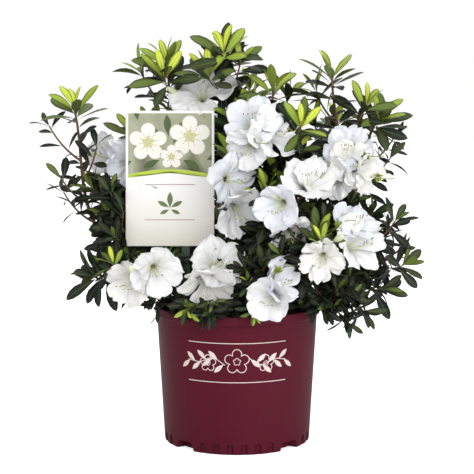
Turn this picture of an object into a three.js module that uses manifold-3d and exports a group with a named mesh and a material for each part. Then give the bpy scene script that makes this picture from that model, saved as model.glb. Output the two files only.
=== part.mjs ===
// A white-flowered azalea in a round nursery pot, with a plain label card on a stake.
// Millimetres, +Z up. The origin is the middle of the pot's flat underside, and -Y is the front.
// Bearings are degrees round the pot's axis: 0 is +X, 90 is the back (+Y) and 270 the front.
import * as THREE from "three";
import { mergeVertices } from "three/addons/utils/BufferGeometryUtils.js";
import Module from "manifold-3d";

const wasm = await Module();
wasm.setup();

// Pot: a blow-moulded wall that widens upwards, a rolled rim and four feet between drain notches.
const POT_HEIGHT = 192;
const POT_BASE_RADIUS = 102;
const POT_WALL_TOP_RADIUS = 112.4;
const RIM_RADIUS = 115;
const RIM_HEIGHT = 12;
const RIM_THICKNESS = 3;
const RIM_STEP = 1.5;
const POT_WALL = 2.2;
const POT_FLOOR = 3;
const POT_SIDES = 36;
const NOTCH = { count: 4, bearing: 45, width: 32, slope: 4, height: 12, depth: 15 };

// Potting soil: it fills the pot to a little under the rim, and is level round the stem.
const SOIL_TOP = 178;
const SOIL_LEVEL_RADIUS = 62;
const SOIL_EDGE_DROP = 4;
const SOIL_SIDES = 30;
const CLEARANCE = 0.3;

// Trunk: short, with a root flare at the soil, and five main stems that leave its top.
const TRUNK = { height: 36, baseRadius: 14, topRadius: 9.5, flare: 2.5, lean: 3, sides: 12 };
const STEM_RADII = [6, 3.9];
const STEM_UPTURN = { share: 0.25, lift: 6 };
const STEMS = {
  left: { bearing: 178, height: 20, rise: 38, length: 84 },
  front: { bearing: 268, height: 15, rise: 40, length: 72 },
  right: { bearing: 358, height: 20, rise: 38, length: 84 },
  back: { bearing: 88, height: 15, rise: 42, length: 80 },
  top: { bearing: 80, height: 34, rise: 87, length: 104 },
};

// Masses of foliage. Each has a leading shoot that ends at a tip, given by its bearing, its reach from
// the pot's axis and its height. The shoot is so long and leans so far out. The mass's bough leaves a
// main stem at a share of that stem's length. Side shoots leave the leading shoot in turn, the first of
// them at its own bearing.
const MASSES = {
  left_tall: { stem: "left", from: 0.8, tip: [183, 224, 466], shoot: 186, lean: 12, first: 85 },
  left_mid: { stem: "left", from: 1, tip: [188, 200, 356], shoot: 110, lean: 38, first: 230 },
  left_low: { stem: "left", from: 0.5, tip: [192, 186, 252], shoot: 104, lean: 66, first: 120 },
  front_left: { stem: "front", from: 0.3, tip: [212, 150, 250], shoot: 84, lean: 52, first: 250 },
  top_left: { stem: "top", from: 0.6, tip: [174, 98, 528], shoot: 176, lean: 8, first: 100 },
  crown_top: { stem: "top", from: 1, tip: [112, 34, 542], shoot: 168, lean: 3, first: 190 },
  upper_mid: { stem: "top", from: 0.84, tip: [355, 50, 492], shoot: 150, lean: 4, first: 306 },
  top_right: { stem: "top", from: 0.7, tip: [353, 131, 514], shoot: 176, lean: 0, first: 70 },
  right_upper: { stem: "right", from: 1, tip: [4, 194, 452], shoot: 140, lean: 20, first: 60 },
  right_mid: { stem: "right", from: 0.8, tip: [350, 188, 322], shoot: 96, lean: 26, first: 40 },
  right_low: { stem: "right", from: 0.6, tip: [358, 226, 268], shoot: 118, lean: 56, first: 60 },
  right_skirt: { stem: "right", from: 0.38, tip: [340, 172, 205], shoot: 84, lean: 84, first: 300 },
  front_right: { stem: "front", from: 0.84, tip: [312, 160, 306], shoot: 92, lean: 34, first: 20 },
  front_mid: { stem: "front", from: 1, tip: [292, 104, 360], shoot: 92, lean: 14, first: 330 },
  centre_left: { stem: "front", from: 0.68, tip: [262, 60, 406], shoot: 120, lean: 2, first: 190 },
  front_low_mid: { stem: "front", from: 0.48, tip: [286, 132, 262], shoot: 84, lean: 56, first: 330 },
  front_low_left: { stem: "front", from: 0.34, tip: [246, 134, 212], shoot: 74, lean: 76, first: 270 },
  back_left_mid: { stem: "left", from: 0.66, tip: [132, 196, 430], shoot: 150, lean: 20, first: 170 },
  back_top: { stem: "back", from: 1, tip: [82, 132, 484], shoot: 160, lean: 10, first: 80 },
  back_right_mid: { stem: "back", from: 0.84, tip: [44, 196, 434], shoot: 150, lean: 20, first: 0 },
  back_left_low: { stem: "back", from: 0.34, tip: [155, 196, 286], shoot: 112, lean: 52, first: 100 },
  back_low_left: { stem: "back", from: 0.5, tip: [115, 190, 270], shoot: 112, lean: 54, first: 60 },
  back_low_right: { stem: "back", from: 0.42, tip: [72, 190, 262], shoot: 112, lean: 56, first: 20 },
  back_right_low: { stem: "back", from: 0.62, tip: [30, 202, 284], shoot: 114, lean: 52, first: 340 },
};

// Trusses of bloom: the mass that carries each, its middle by bearing, reach and height, the number of
// flowers in it, and the bearing and rise that it faces.
const TRUSSES = [
  { mass: "top_left", middle: [170, 59, 476], flowers: 1, faces: [262, 14] },
  { mass: "upper_mid", middle: [291, 78, 434], flowers: 3, faces: [272, 18] },
  { mass: "upper_mid", middle: [250, 16, 377], flowers: 1, faces: [282, 0] },
  { mass: "top_right", middle: [334, 171, 394], flowers: 3, faces: [285, 12] },
  { mass: "front_mid", middle: [307, 142, 367], flowers: 1, faces: [250, 24] },
  { mass: "centre_left", middle: [273, 84, 331], flowers: 1, faces: [285, -6] },
  { mass: "front_mid", middle: [289, 158, 330], flowers: 1, faces: [272, 8] },
  { mass: "front_right", middle: [306, 180, 285], flowers: 1, faces: [268, 5] },
  { mass: "front_right", middle: [323, 192, 293], flowers: 1, faces: [298, 12] },
  { mass: "front_left", middle: [213, 184, 239], flowers: 1, faces: [244, 4] },
  { mass: "front_left", middle: [227, 142, 252], flowers: 1, faces: [266, 6] },
  { mass: "front_low_left", middle: [254, 120, 250], flowers: 1, faces: [276, -8] },
  { mass: "front_low_mid", middle: [291, 148, 224], flowers: 2, faces: [280, 0] },
  { mass: "left_mid", middle: [178, 173, 397], flowers: 2, faces: [245, 12] },
  { mass: "back_top", middle: [86, 146, 420], flowers: 2, faces: [90, 18] },
  { mass: "back_left_mid", middle: [138, 186, 366], flowers: 2, faces: [135, 15] },
  { mass: "back_right_mid", middle: [46, 190, 368], flowers: 3, faces: [50, 15] },
  { mass: "back_left_low", middle: [158, 190, 246], flowers: 1, faces: [160, 10] },
  { mass: "back_low_left", middle: [112, 186, 240], flowers: 2, faces: [110, 5] },
  { mass: "back_low_right", middle: [74, 188, 236], flowers: 1, faces: [75, 5] },
  { mass: "back_right_low", middle: [28, 204, 256], flowers: 1, faces: [30, 8] },
];

// Limbs: the radii at each one's two ends, and how finely it is made.
const STEM_SIDES = 7;
const STEM_STEPS = 5;
const BOUGH_RADII = [3.6, 2.6];
const BOUGH_SIDES = 5;
const BOUGH_STEPS = 4;
const BOUGH_TURN = 0.6;
const TWIG_SIDES = 3;
const LEADER_RADII = [3.2, 2];
const LEADER_STEPS = 5;
const SIDE_RADII = [1.8, 1.6];
const TRUSS_TWIG_RADIUS = 1.7;
const STALK_RADIUS = 1;
const KNOT_RADIUS = 3.6;
const TWIG_STEPS = 2;

// Side shoots: so many on each leader, between two shares of its length. Each leaves at an angle, turns
// up, ends clear of its neighbours' tips and of the flowers, and may turn round the leader to do so.
const SIDE_SHOOT = { count: 4, length: [50, 74], from: 0.06, to: 0.7, angle: 52, turnUp: 0.5, apart: 40 };
const SIDE_SHOOT_TURNS = [0, 50, -50, 100, -100, 150];
const SIDE_SHOOT_SWAY = 24;
const FLOWER_ROOM = 30;
const GOLDEN_ANGLE = 137.5;

// Leaves: larger than life and fewer than the plant has. One that finds no room turns or shrinks a little.
const LEAF = { length: 55, width: 22, thickness: 1.4, widest: 0.56, keel: 0.45, sunk: 0.2, droop: 0.06 };
const LEAF_STEP = 24;
const LEAF_TURNS = [0, 22, -22, 44, -44];
const LEAF_SIZES = [1, 0.8];
const PETIOLE = 9;
const ROSETTE = { leaves: 5, depth: 13, top: 1.5, angle: 22, opening: 9 };
const LOWER_LEAF = { angle: 58, spread: 14 };
const LEAF_SCALE = { first: 0.74, least: 0.88, spread: 0.2 };
const BARE_LENGTH = 26;

// Flowers: funnels with five broad petals. A truss's flowers stand apart and splay from its middle, and
// their stalks meet in a knot. Knot, twig end and base lie behind that middle by shares of the depth.
const PETALS = 5;
const FLOWER = { radius: 35, depth: 33, notch: 0.72, apart: 34, splay: 30 };
const FLOWER_SCALE = { least: 0.94, spread: 0.1 };
const BEHIND_MIDDLE = { knot: 0.8, singleTwig: 0.6, base: 0.7 };
const FLOWER_SIZES = [1, 0.92, 0.84, 0.76];

// The space round each skeleton: how far its parts hold the neighbours off, the margin kept, and how far
// the crown reaches from the pot's axis.
const HOLD = { leader: 12, trussTwig: 8, stalk: 4, flower: 38, sideShoot: 10 };
const SPACE_MARGIN = 120;
const POST_SPACING = 16;
const CROWN_REACH = 268;

// How far a mass may change as it is simplified once its pieces are joined, and the grid that vertices
// are rounded to.
const MERGE_TOLERANCE = 0.08;
const GRID = 0.001;

// Label: a card with rounded corners on a flat stake, pushed into the soil just inside the rim.
const CARD = { width: 121, height: 185, thickness: 1, corner: 5, x: -91.5, bottom: 280 };
const STAKE = { width: 11, thickness: 2, x: -70, y: -66, depth: 50, overlap: 70, sunk: 0.5 };
const LABEL_LEAN = 7.5;
const LABEL_VIEW = 130;

const UP = new THREE.Vector3(0, 0, 1);
const LIMB_SIDE = new THREE.Vector3(0.31, 0.95, 0.07);
const radians = THREE.MathUtils.degToRad;

function seeded(seed) {
  let state = seed * 7919 + 17;
  return () => {
    state = (state * 48271) % 2147483647;
    return state / 2147483647;
  };
}

function polar(bearing, reach, height) {
  const angle = radians(bearing);
  return new THREE.Vector3(reach * Math.cos(angle), reach * Math.sin(angle), height);
}

// A unit vector at a bearing, so many degrees above the level.
function heading(bearing, rise) {
  return polar(bearing, Math.cos(radians(rise)), Math.sin(radians(rise)));
}

// A solid from a closed geometry, whose shared vertices are merged by position alone.
function solidFrom(geometry) {
  const bare = geometry.clone();
  const extras = Object.keys(bare.attributes).filter((name) => name !== "position");
  for (const name of extras) bare.deleteAttribute(name);
  const merged = mergeVertices(bare, 1e-4);
  return new wasm.Manifold(
    new wasm.Mesh({
      numProp: 3,
      vertProperties: merged.attributes.position.array,
      triVerts: new Uint32Array(merged.index.array),
    }),
  );
}

// Whether two boxes lie apart.
function apart(a, b) {
  return [0, 1, 2].some((axis) => a.min[axis] > b.max[axis] || a.max[axis] < b.min[axis]);
}

function meets(solid, box, other, otherBox) {
  return !apart(box, otherBox) && !solid.intersect(other).isEmpty();
}

function geometryFrom(solid) {
  const mesh = solid.getMesh();
  const geometry = new THREE.BufferGeometry();
  geometry.setAttribute("position", new THREE.BufferAttribute(mesh.vertProperties, 3));
  geometry.setIndex(new THREE.BufferAttribute(mesh.triVerts, 1));
  geometry.computeVertexNormals();
  return geometry;
}

// The solid with its vertices rounded to a grid and merged. Only its largest shell is kept, which drops
// loose scraps and fills what the joining has sealed.
function welded(solid) {
  const geometry = geometryFrom(solid);
  const places = geometry.attributes.position.array;
  places.forEach((value, i) => {
    places[i] = Math.round(value / GRID) * GRID;
  });
  const shells = solidFrom(geometry).decompose();
  return shells.reduce((best, shell) => (shell.volume() > best.volume() ? shell : best));
}

// A body of revolution about +Z from a profile of [radius, height] pairs that starts and ends on the axis.
function turned(profile, sides) {
  const points = profile.map(([radius, height]) => new THREE.Vector2(radius, height));
  return new THREE.LatheGeometry(points, sides).rotateX(Math.PI / 2);
}

// A cubic curve that leaves start along startWay and reaches end along endWay.
function sweep(start, startWay, end, endWay, pull = 0.36) {
  const handle = start.distanceTo(end) * pull;
  return new THREE.CubicBezierCurve3(
    start,
    start.clone().addScaledVector(startWay, handle),
    end.clone().addScaledVector(endWay, -handle),
    end,
  );
}

// A tapering limb: a cylinder bent along the curve, with its two radii at the curve's ends.
function taperedLimb(curve, [startRadius, endRadius], sides, steps) {
  const geometry = new THREE.CylinderGeometry(1, 1, 1, sides, steps);
  const rings = Array.from({ length: steps + 1 }, (_, i) => {
    const share = i / steps;
    const way = curve.getTangent(share);
    const across = LIMB_SIDE.clone().cross(way).normalize();
    return { at: curve.getPoint(share), across, beside: way.clone().cross(across), share };
  });
  const place = geometry.attributes.position;
  for (let i = 0; i < place.count; i++) {
    const ring = rings[Math.round((place.getY(i) + 0.5) * steps)];
    const radius = startRadius + (endRadius - startRadius) * ring.share;
    const point = ring.at
      .clone()
      .addScaledVector(ring.across, -place.getX(i) * radius)
      .addScaledVector(ring.beside, place.getZ(i) * radius);
    place.setXYZ(i, point.x, point.y, point.z);
  }
  return geometry;
}

// A leaf of six faces, from its root along a way: flat below, and keeled above along its midrib.
function leafGeometry({ root, way, face, length, width }) {
  const across = way.clone().cross(face).normalize();
  const out = across.clone().cross(way).normalize();
  const corners = [
    [-LEAF.sunk, 0, 0],
    [LEAF.widest * length, width / 2, 0],
    [LEAF.widest * length, -width / 2, 0],
    [length, 0, -LEAF.droop * length],
    [LEAF.keel * length, 0, LEAF.thickness],
  ];
  const places = corners.flatMap(([along, aside, lift]) => {
    const corner = root.clone().addScaledVector(way, along).addScaledVector(across, aside);
    return corner.addScaledVector(out, lift).toArray();
  });
  const geometry = new THREE.BufferGeometry();
  geometry.setAttribute("position", new THREE.Float32BufferAttribute(places, 3));
  geometry.setIndex([0, 2, 1, 1, 2, 3, 0, 1, 4, 1, 3, 4, 3, 2, 4, 2, 0, 4]);
  return geometry;
}

// A flower: a funnel from its base along its way, whose rim is cut into five broad petals.
const RIM_POINTS = PETALS * 3;
const FUNNEL_PROFILE = [[0, -3], [FLOWER.radius, FLOWER.depth * 0.82], [0, FLOWER.depth * 0.34]];

function flowerGeometry({ base, way, size, turn }) {
  const geometry = turned(FUNNEL_PROFILE, RIM_POINTS);
  const place = geometry.attributes.position;
  const frame = new THREE.Quaternion().setFromUnitVectors(UP, way);
  for (let i = 0; i < place.count; i++) {
    const point = new THREE.Vector3().fromBufferAttribute(place, i);
    const onRim = Math.hypot(point.x, point.y) > FLOWER.radius / 2;
    const spoke = Math.round((Math.atan2(point.y, point.x) / (2 * Math.PI) + 1) * RIM_POINTS);
    if (onRim && spoke % 3 === 0) point.multiply(new THREE.Vector3(FLOWER.notch, FLOWER.notch, 0.9));
    point.applyAxisAngle(UP, turn).multiplyScalar(size).applyQuaternion(frame).add(base);
    place.setXYZ(i, point.x, point.y, point.z);
  }
  return geometry;
}

// Trunk and main stems.
const trunkBase = new THREE.Vector3(0, 0, SOIL_TOP + CLEARANCE);
const trunkTop = new THREE.Vector3(TRUNK.lean, 0, SOIL_TOP + TRUNK.height);
const trunkCurve = new THREE.LineCurve3(trunkBase, trunkTop);

function trunkGeometry(extra = 0) {
  const rise = trunkTop.z - trunkBase.z + extra;
  const outline = [0, 0.2, 0.5, 1].map((share) => {
    const radius = TRUNK.topRadius + (TRUNK.baseRadius - TRUNK.topRadius) * (1 - share) ** TRUNK.flare;
    return [radius + extra, share * rise];
  });
  const geometry = turned([[0, 0], ...outline, [0, rise]], TRUNK.sides);
  const shear = new THREE.Matrix4().makeShear(0, 0, 0, 0, TRUNK.lean / rise, 0);
  return geometry.applyMatrix4(shear).translate(trunkBase.x, trunkBase.y, trunkBase.z);
}

const stemCurves = {};
for (const [name, stem] of Object.entries(STEMS)) {
  const start = trunkCurve.getPoint(stem.height / TRUNK.height);
  const way = heading(stem.bearing, stem.rise);
  const end = start.clone().addScaledVector(way, stem.length);
  const upturn = way.clone().lerp(UP, STEM_UPTURN.share).normalize();
  stemCurves[name] = sweep(start, way, end.addScaledVector(UP, STEM_UPTURN.lift), upturn);
}

// Each mass's skeleton: its bough, its leader, the twigs of its trusses, and later its side shoots.
const masses = Object.entries(MASSES).map(([name, mass], index) => {
  const tip = polar(...mass.tip);
  const way = heading(mass.tip[0], 90 - mass.lean);
  const fork = tip.clone().addScaledVector(way, -mass.shoot);
  const stem = stemCurves[mass.stem];
  const leavesStem = stem.getPoint(mass.from);
  const stemWay = stem.getTangent(mass.from);
  const out = fork.clone().sub(leavesStem).normalize();
  const goesOn = mass.from === 1;
  const start = goesOn ? leavesStem.clone().addScaledVector(stemWay, CLEARANCE) : leavesStem;
  const startWay = goesOn ? stemWay : stemWay.clone().lerp(out, BOUGH_TURN).normalize();
  const boughWay = out.clone().lerp(way, BOUGH_TURN).normalize();
  const bough = sweep(start, startWay, fork, boughWay);
  const foot = fork.clone().addScaledVector(boughWay, CLEARANCE);
  const leader = { curve: sweep(foot, boughWay, tip, way), radii: LEADER_RADII, length: mass.shoot };
  return { ...mass, name, index, bough, leader, shoots: [leader], twigs: [], knots: [], flowers: [] };
});
const massNamed = Object.fromEntries(masses.map((mass) => [mass.name, mass]));

// A truss's twig leaves the nearest of these shares of the leader's length. Its flowers stand round its
// facing way, each on a stalk from the end of that twig. A single flower sits on the twig itself.
const TRUSS_SHARES = [0.02, 0.15, 0.3, 0.45, 0.6];
TRUSSES.forEach((truss, number) => {
  const mass = massNamed[truss.mass];
  const random = seeded(500 + number);
  const several = truss.flowers > 1;
  const middle = polar(...truss.middle);
  const way = heading(...truss.faces);
  const side = way.clone().cross(UP).normalize();
  const over = side.clone().cross(way);
  const behind = several ? BEHIND_MIDDLE.knot : BEHIND_MIDDLE.singleTwig;
  const knot = middle.clone().addScaledVector(way, -FLOWER.depth * behind);
  const spots = TRUSS_SHARES.map((share) => mass.leader.curve.getPoint(share));
  const near = spots.reduce((best, spot) => (spot.distanceTo(knot) < best.distanceTo(knot) ? spot : best));
  const twigWay = knot.clone().sub(near).normalize();
  const twig = sweep(near, twigWay, knot, way, 0.3);
  mass.twigs.push({ curve: twig, radii: [TRUSS_TWIG_RADIUS, TRUSS_TWIG_RADIUS], hold: HOLD.trussTwig });
  if (several) mass.knots.push(knot);
  const start = random() * 360;
  for (let i = 0; i < truss.flowers; i++) {
    const angle = radians(truss.flowers === 2 ? start * 0.1 + 180 * i : start + (360 / truss.flowers) * i);
    const aside = side.clone().multiplyScalar(Math.cos(angle)).addScaledVector(over, Math.sin(angle));
    const splay = several ? Math.tan(radians(FLOWER.splay)) : 0;
    const faces = way.clone().addScaledVector(aside, splay).normalize();
    const centre = middle.clone().addScaledVector(aside, several ? FLOWER.apart : 0);
    const base = centre.clone().addScaledVector(faces, -FLOWER.depth * BEHIND_MIDDLE.base);
    const stalk = sweep(knot, faces, base, faces, 0.2);
    if (several) mass.twigs.push({ curve: stalk, radii: [STALK_RADIUS, STALK_RADIUS], hold: HOLD.stalk });
    const size = FLOWER_SCALE.least + FLOWER_SCALE.spread * random();
    mass.flowers.push({ base, way: faces, centre, size, turn: random() * 2 });
  }
});

// The space that each mass keeps to: what lies nearer to its own skeleton than to any other's.
const posts = [];

function claim(mass, point, radius) {
  posts.push({ mass, point, radius });
}

function claimCurve(mass, curve, radius) {
  const steps = Math.ceil(curve.getLength() / POST_SPACING);
  for (let i = 0; i <= steps; i++) claim(mass, curve.getPoint(i / steps), radius);
}

function keepsTo(mass, points) {
  return points.every((point) => {
    if (Math.hypot(point.x, point.y) > CROWN_REACH) return false;
    let own = Infinity;
    let other = Infinity;
    for (const post of posts) {
      const distance = post.point.distanceToSquared(point) - post.radius ** 2;
      if (post.mass === mass) own = Math.min(own, distance);
      else other = Math.min(other, distance);
    }
    return own + SPACE_MARGIN < other;
  });
}

for (const mass of masses) {
  claimCurve(mass, mass.leader.curve, HOLD.leader);
  for (const twig of mass.twigs) claimCurve(mass, twig.curve, twig.hold);
  for (const flower of mass.flowers) claim(mass, flower.centre, HOLD.flower);
}

// Side shoots leave the leader by the golden angle and turn up. One that would leave the mass's space
// or come near a flower is skipped.
const allFlowers = masses.flatMap((mass) => mass.flowers);

function nearFlower(point) {
  return allFlowers.some((flower) => flower.centre.distanceTo(point) < FLOWER_ROOM);
}

function sideShoot(mass, share, bearing, length) {
  const start = mass.leader.curve.getPoint(share);
  const along = mass.leader.curve.getTangent(share);
  const out = heading(bearing, 0).projectOnPlane(along).normalize();
  const angle = radians(SIDE_SHOOT.angle);
  const way = along.clone().multiplyScalar(Math.cos(angle)).addScaledVector(out, Math.sin(angle));
  const endWay = way.clone().lerp(UP, SIDE_SHOOT.turnUp).normalize();
  const end = start.clone().addScaledVector(way.clone().add(endWay).normalize(), length);
  return { curve: sweep(start, way, end, endWay), radii: SIDE_RADII, length };
}

function hasRoom(mass, { curve }) {
  const end = curve.getPoint(1);
  const points = [0.4, 0.7, 1].map((share) => curve.getPoint(share));
  const crowded = mass.shoots.some((shoot) => shoot.curve.getPoint(1).distanceTo(end) < SIDE_SHOOT.apart);
  return !crowded && keepsTo(mass, points) && !points.some(nearFlower);
}

for (const mass of masses) {
  const random = seeded(100 + mass.index);
  const { count, from, to, length: [shortest, longest] } = SIDE_SHOOT;
  for (let i = 0; i < count; i++) {
    const share = from + ((to - from) * (i + 0.5)) / count;
    const bearing = mass.first + GOLDEN_ANGLE * i + SIDE_SHOOT_SWAY * (random() - 0.5);
    const length = shortest + (longest - shortest) * random();
    const trials = SIDE_SHOOT_TURNS.map((turn) => sideShoot(mass, share, bearing + turn, length));
    const shoot = trials.find((trial) => hasRoom(mass, trial));
    if (!shoot) continue;
    mass.shoots.push(shoot);
    claimCurve(mass, shoot.curve, HOLD.sideShoot);
  }
}

// Leaves: a rosette at each shoot's tip and single leaves below it, all set round by the golden angle.
function leavesOf(mass, shoot, number) {
  const random = seeded(1000 + mass.index * 20 + number);
  const below = Math.max(0, Math.floor((shoot.length - BARE_LENGTH - ROSETTE.depth) / LEAF_STEP));
  const start = random() * 360;
  return Array.from({ length: ROSETTE.leaves + below }, (_, i) => {
    const inRosette = i < ROSETTE.leaves;
    const down = inRosette
      ? ROSETTE.top + (ROSETTE.depth * i) / ROSETTE.leaves
      : ROSETTE.depth + LEAF_STEP * (i - ROSETTE.leaves + 0.6);
    const share = 1 - down / shoot.length;
    const root = shoot.curve.getPoint(share);
    const along = shoot.curve.getTangent(share);
    const side = LIMB_SIDE.clone().cross(along).normalize();
    const out = side.applyAxisAngle(along, radians(start + GOLDEN_ANGLE * i));
    const { angle: least, spread } = LOWER_LEAF;
    const angle = radians(inRosette ? ROSETTE.angle + ROSETTE.opening * i : least + spread * random());
    const way = along.clone().multiplyScalar(Math.cos(angle)).addScaledVector(out, Math.sin(angle));
    const face = along.clone().multiplyScalar(Math.sin(angle)).addScaledVector(out, -Math.cos(angle));
    const scale = i === 0 ? LEAF_SCALE.first : LEAF_SCALE.least + LEAF_SCALE.spread * random();
    const size = { length: LEAF.length * scale, width: LEAF.width * scale };
    return { root, along, way: way.normalize(), face, ...size };
  });
}

// A leaf swung round its shoot, and made smaller.
function turnedLeaf(leaf, turn, size) {
  const swing = (vector) => vector.clone().applyAxisAngle(leaf.along, radians(turn));
  const smaller = { length: leaf.length * size, width: leaf.width * size };
  return { ...leaf, way: swing(leaf.way), face: swing(leaf.face), ...smaller };
}

// The leaf without its stalk, which is all that may touch the shoot.
function blade(leaf) {
  const root = leaf.root.clone().addScaledVector(leaf.way, PETIOLE);
  return { ...leaf, root, length: leaf.length - PETIOLE };
}

// Points round a leaf, as shares of its length and its width, which tell whether it keeps to a space.
const LEAF_OUTLINE = [[0.3, 0], [0.56, 0.55], [0.56, -0.55], [0.8, 0], [1.02, 0]];

function leafPoints({ root, way, face, length, width }) {
  const across = way.clone().cross(face).normalize();
  return LEAF_OUTLINE.map(([along, aside]) => {
    const point = root.clone().addScaledVector(way, along * length);
    return point.addScaledVector(across, aside * width);
  });
}

function flowerPoints({ base, way, size, turn }) {
  const frame = new THREE.Quaternion().setFromUnitVectors(UP, way);
  return Array.from({ length: RIM_POINTS }, (_, i) => {
    const angle = turn + (2 * Math.PI * i) / RIM_POINTS;
    const reach = FLOWER.radius * (i % 3 ? 1.02 : FLOWER.notch);
    const rim = new THREE.Vector3(reach * Math.cos(angle), reach * Math.sin(angle), FLOWER.depth * 0.84);
    return rim.multiplyScalar(size).applyQuaternion(frame).add(base);
  });
}

// Label card and stake, in one flat piece that leans back a little.
function roundedCard() {
  const { width, height, corner } = CARD;
  const [left, right, low, high] = [-width / 2, width / 2, 0, height];
  const shape = new THREE.Shape();
  shape.absarc(right - corner, low + corner, corner, -Math.PI / 2, 0);
  shape.absarc(right - corner, high - corner, corner, 0, Math.PI / 2);
  shape.absarc(left + corner, high - corner, corner, Math.PI / 2, Math.PI);
  shape.absarc(left + corner, low + corner, corner, Math.PI, Math.PI * 1.5);
  return new THREE.ExtrudeGeometry(shape, { depth: CARD.thickness, bevelEnabled: false, curveSegments: 4 });
}

function labelPieces(extra = 0) {
  const lean = radians(LABEL_LEAN);
  const fall = CARD.bottom - SOIL_TOP;
  const half = STAKE.width / 2 + extra;
  const stakeOutline = new THREE.Shape([
    new THREE.Vector2(-half, -fall - STAKE.depth + STAKE.width),
    new THREE.Vector2(0, -fall - STAKE.depth - extra),
    new THREE.Vector2(half, -fall - STAKE.depth + STAKE.width),
    new THREE.Vector2(half, STAKE.overlap),
    new THREE.Vector2(-half, STAKE.overlap),
  ]);
  const thick = STAKE.thickness + 2 * extra;
  const stake = new THREE.ExtrudeGeometry(stakeOutline, { depth: thick, bevelEnabled: false });
  stake.translate(STAKE.x - CARD.x, 0, STAKE.sunk - CARD.thickness - STAKE.thickness - extra);
  const card = roundedCard().scale(1, 1, (CARD.thickness + 2 * extra) / CARD.thickness);
  card.translate(0, 0, -CARD.thickness - extra);
  return [stake, card].map((piece) => {
    piece.rotateX(Math.PI / 2 - lean);
    piece.translate(CARD.x, STAKE.y + fall * Math.tan(lean), CARD.bottom);
    return solidFrom(piece);
  });
}

function label(extra = 0) {
  const [stake, card] = labelPieces(extra);
  return stake.add(card);
}

// The room in front of the card, which stays empty so that the card can be read.
function labelView() {
  const view = new THREE.BoxGeometry(CARD.width, CARD.height, LABEL_VIEW);
  view.translate(0, CARD.height / 2, LABEL_VIEW / 2);
  view.rotateX(Math.PI / 2 - radians(LABEL_LEAN));
  const fall = (CARD.bottom - SOIL_TOP) * Math.tan(radians(LABEL_LEAN));
  return solidFrom(view.translate(CARD.x, STAKE.y + fall, CARD.bottom));
}

// Pot and soil.
function potSolid() {
  const wallInside = POT_WALL_TOP_RADIUS - POT_WALL;
  let pot = solidFrom(
    turned(
      [
        [0, 0],
        [POT_BASE_RADIUS, 0],
        [POT_WALL_TOP_RADIUS, POT_HEIGHT - RIM_HEIGHT - RIM_STEP],
        [RIM_RADIUS, POT_HEIGHT - RIM_HEIGHT],
        [RIM_RADIUS, POT_HEIGHT],
        [RIM_RADIUS - RIM_THICKNESS, POT_HEIGHT],
        [wallInside, POT_HEIGHT - RIM_HEIGHT],
        [POT_BASE_RADIUS - POT_WALL, POT_FLOOR],
        [0, POT_FLOOR],
      ],
      POT_SIDES,
    ),
  );
  const { width, slope, height, depth } = NOTCH;
  const outline = new THREE.Shape([
    new THREE.Vector2(-width / 2, -1),
    new THREE.Vector2(width / 2, -1),
    new THREE.Vector2(width / 2 - slope, height),
    new THREE.Vector2(-width / 2 + slope, height),
  ]);
  for (let i = 0; i < NOTCH.count; i++) {
    const notch = new THREE.ExtrudeGeometry(outline, { depth: depth * 2, bevelEnabled: false });
    notch.translate(0, 0, POT_BASE_RADIUS - depth);
    notch.rotateX(Math.PI / 2).rotateZ(Math.PI);
    notch.rotateZ(radians(NOTCH.bearing + (360 / NOTCH.count) * i) - Math.PI / 2);
    pot = pot.subtract(solidFrom(notch));
  }
  return pot;
}

function wallRadiusInside(height) {
  const rise = POT_HEIGHT - RIM_HEIGHT - POT_FLOOR;
  const widening = POT_WALL_TOP_RADIUS - POT_BASE_RADIUS;
  return POT_BASE_RADIUS - POT_WALL + (widening * (height - POT_FLOOR)) / rise;
}

function soilSolid() {
  const floor = POT_FLOOR + CLEARANCE;
  const edge = SOIL_TOP - SOIL_EDGE_DROP;
  const gap = 2 * CLEARANCE;
  const body = turned(
    [
      [0, floor],
      [wallRadiusInside(floor) - gap, floor],
      [wallRadiusInside(edge) - gap, edge],
      [SOIL_LEVEL_RADIUS, SOIL_TOP],
      [0, SOIL_TOP],
    ],
    SOIL_SIDES,
  );
  return solidFrom(body).subtract(label(CLEARANCE));
}

// Each limb is cut clear of the limbs before it, and its larger copy is what later pieces keep clear of.
const limbs = [];

function addLimb(name, solid, space) {
  const box = space.boundingBox();
  for (const limb of limbs) if (!apart(box, limb.box)) solid = solid.subtract(limb.space);
  limbs.push({ name, solid: welded(solid), space, box });
}

function addTapered(name, curve, radii, sides, steps) {
  const wider = radii.map((radius) => radius + CLEARANCE);
  const [solid, space] = [radii, wider].map((both) => solidFrom(taperedLimb(curve, both, sides, steps)));
  addLimb(name, solid, space);
}

addLimb("trunk", solidFrom(trunkGeometry()), solidFrom(trunkGeometry(CLEARANCE)));
for (const [name, curve] of Object.entries(stemCurves)) {
  addTapered(`stem_${name}`, curve, STEM_RADII, STEM_SIDES, STEM_STEPS);
}
for (const mass of masses) {
  addTapered(`bough_${mass.name}`, mass.bough, BOUGH_RADII, BOUGH_SIDES, BOUGH_STEPS);
}

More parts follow.
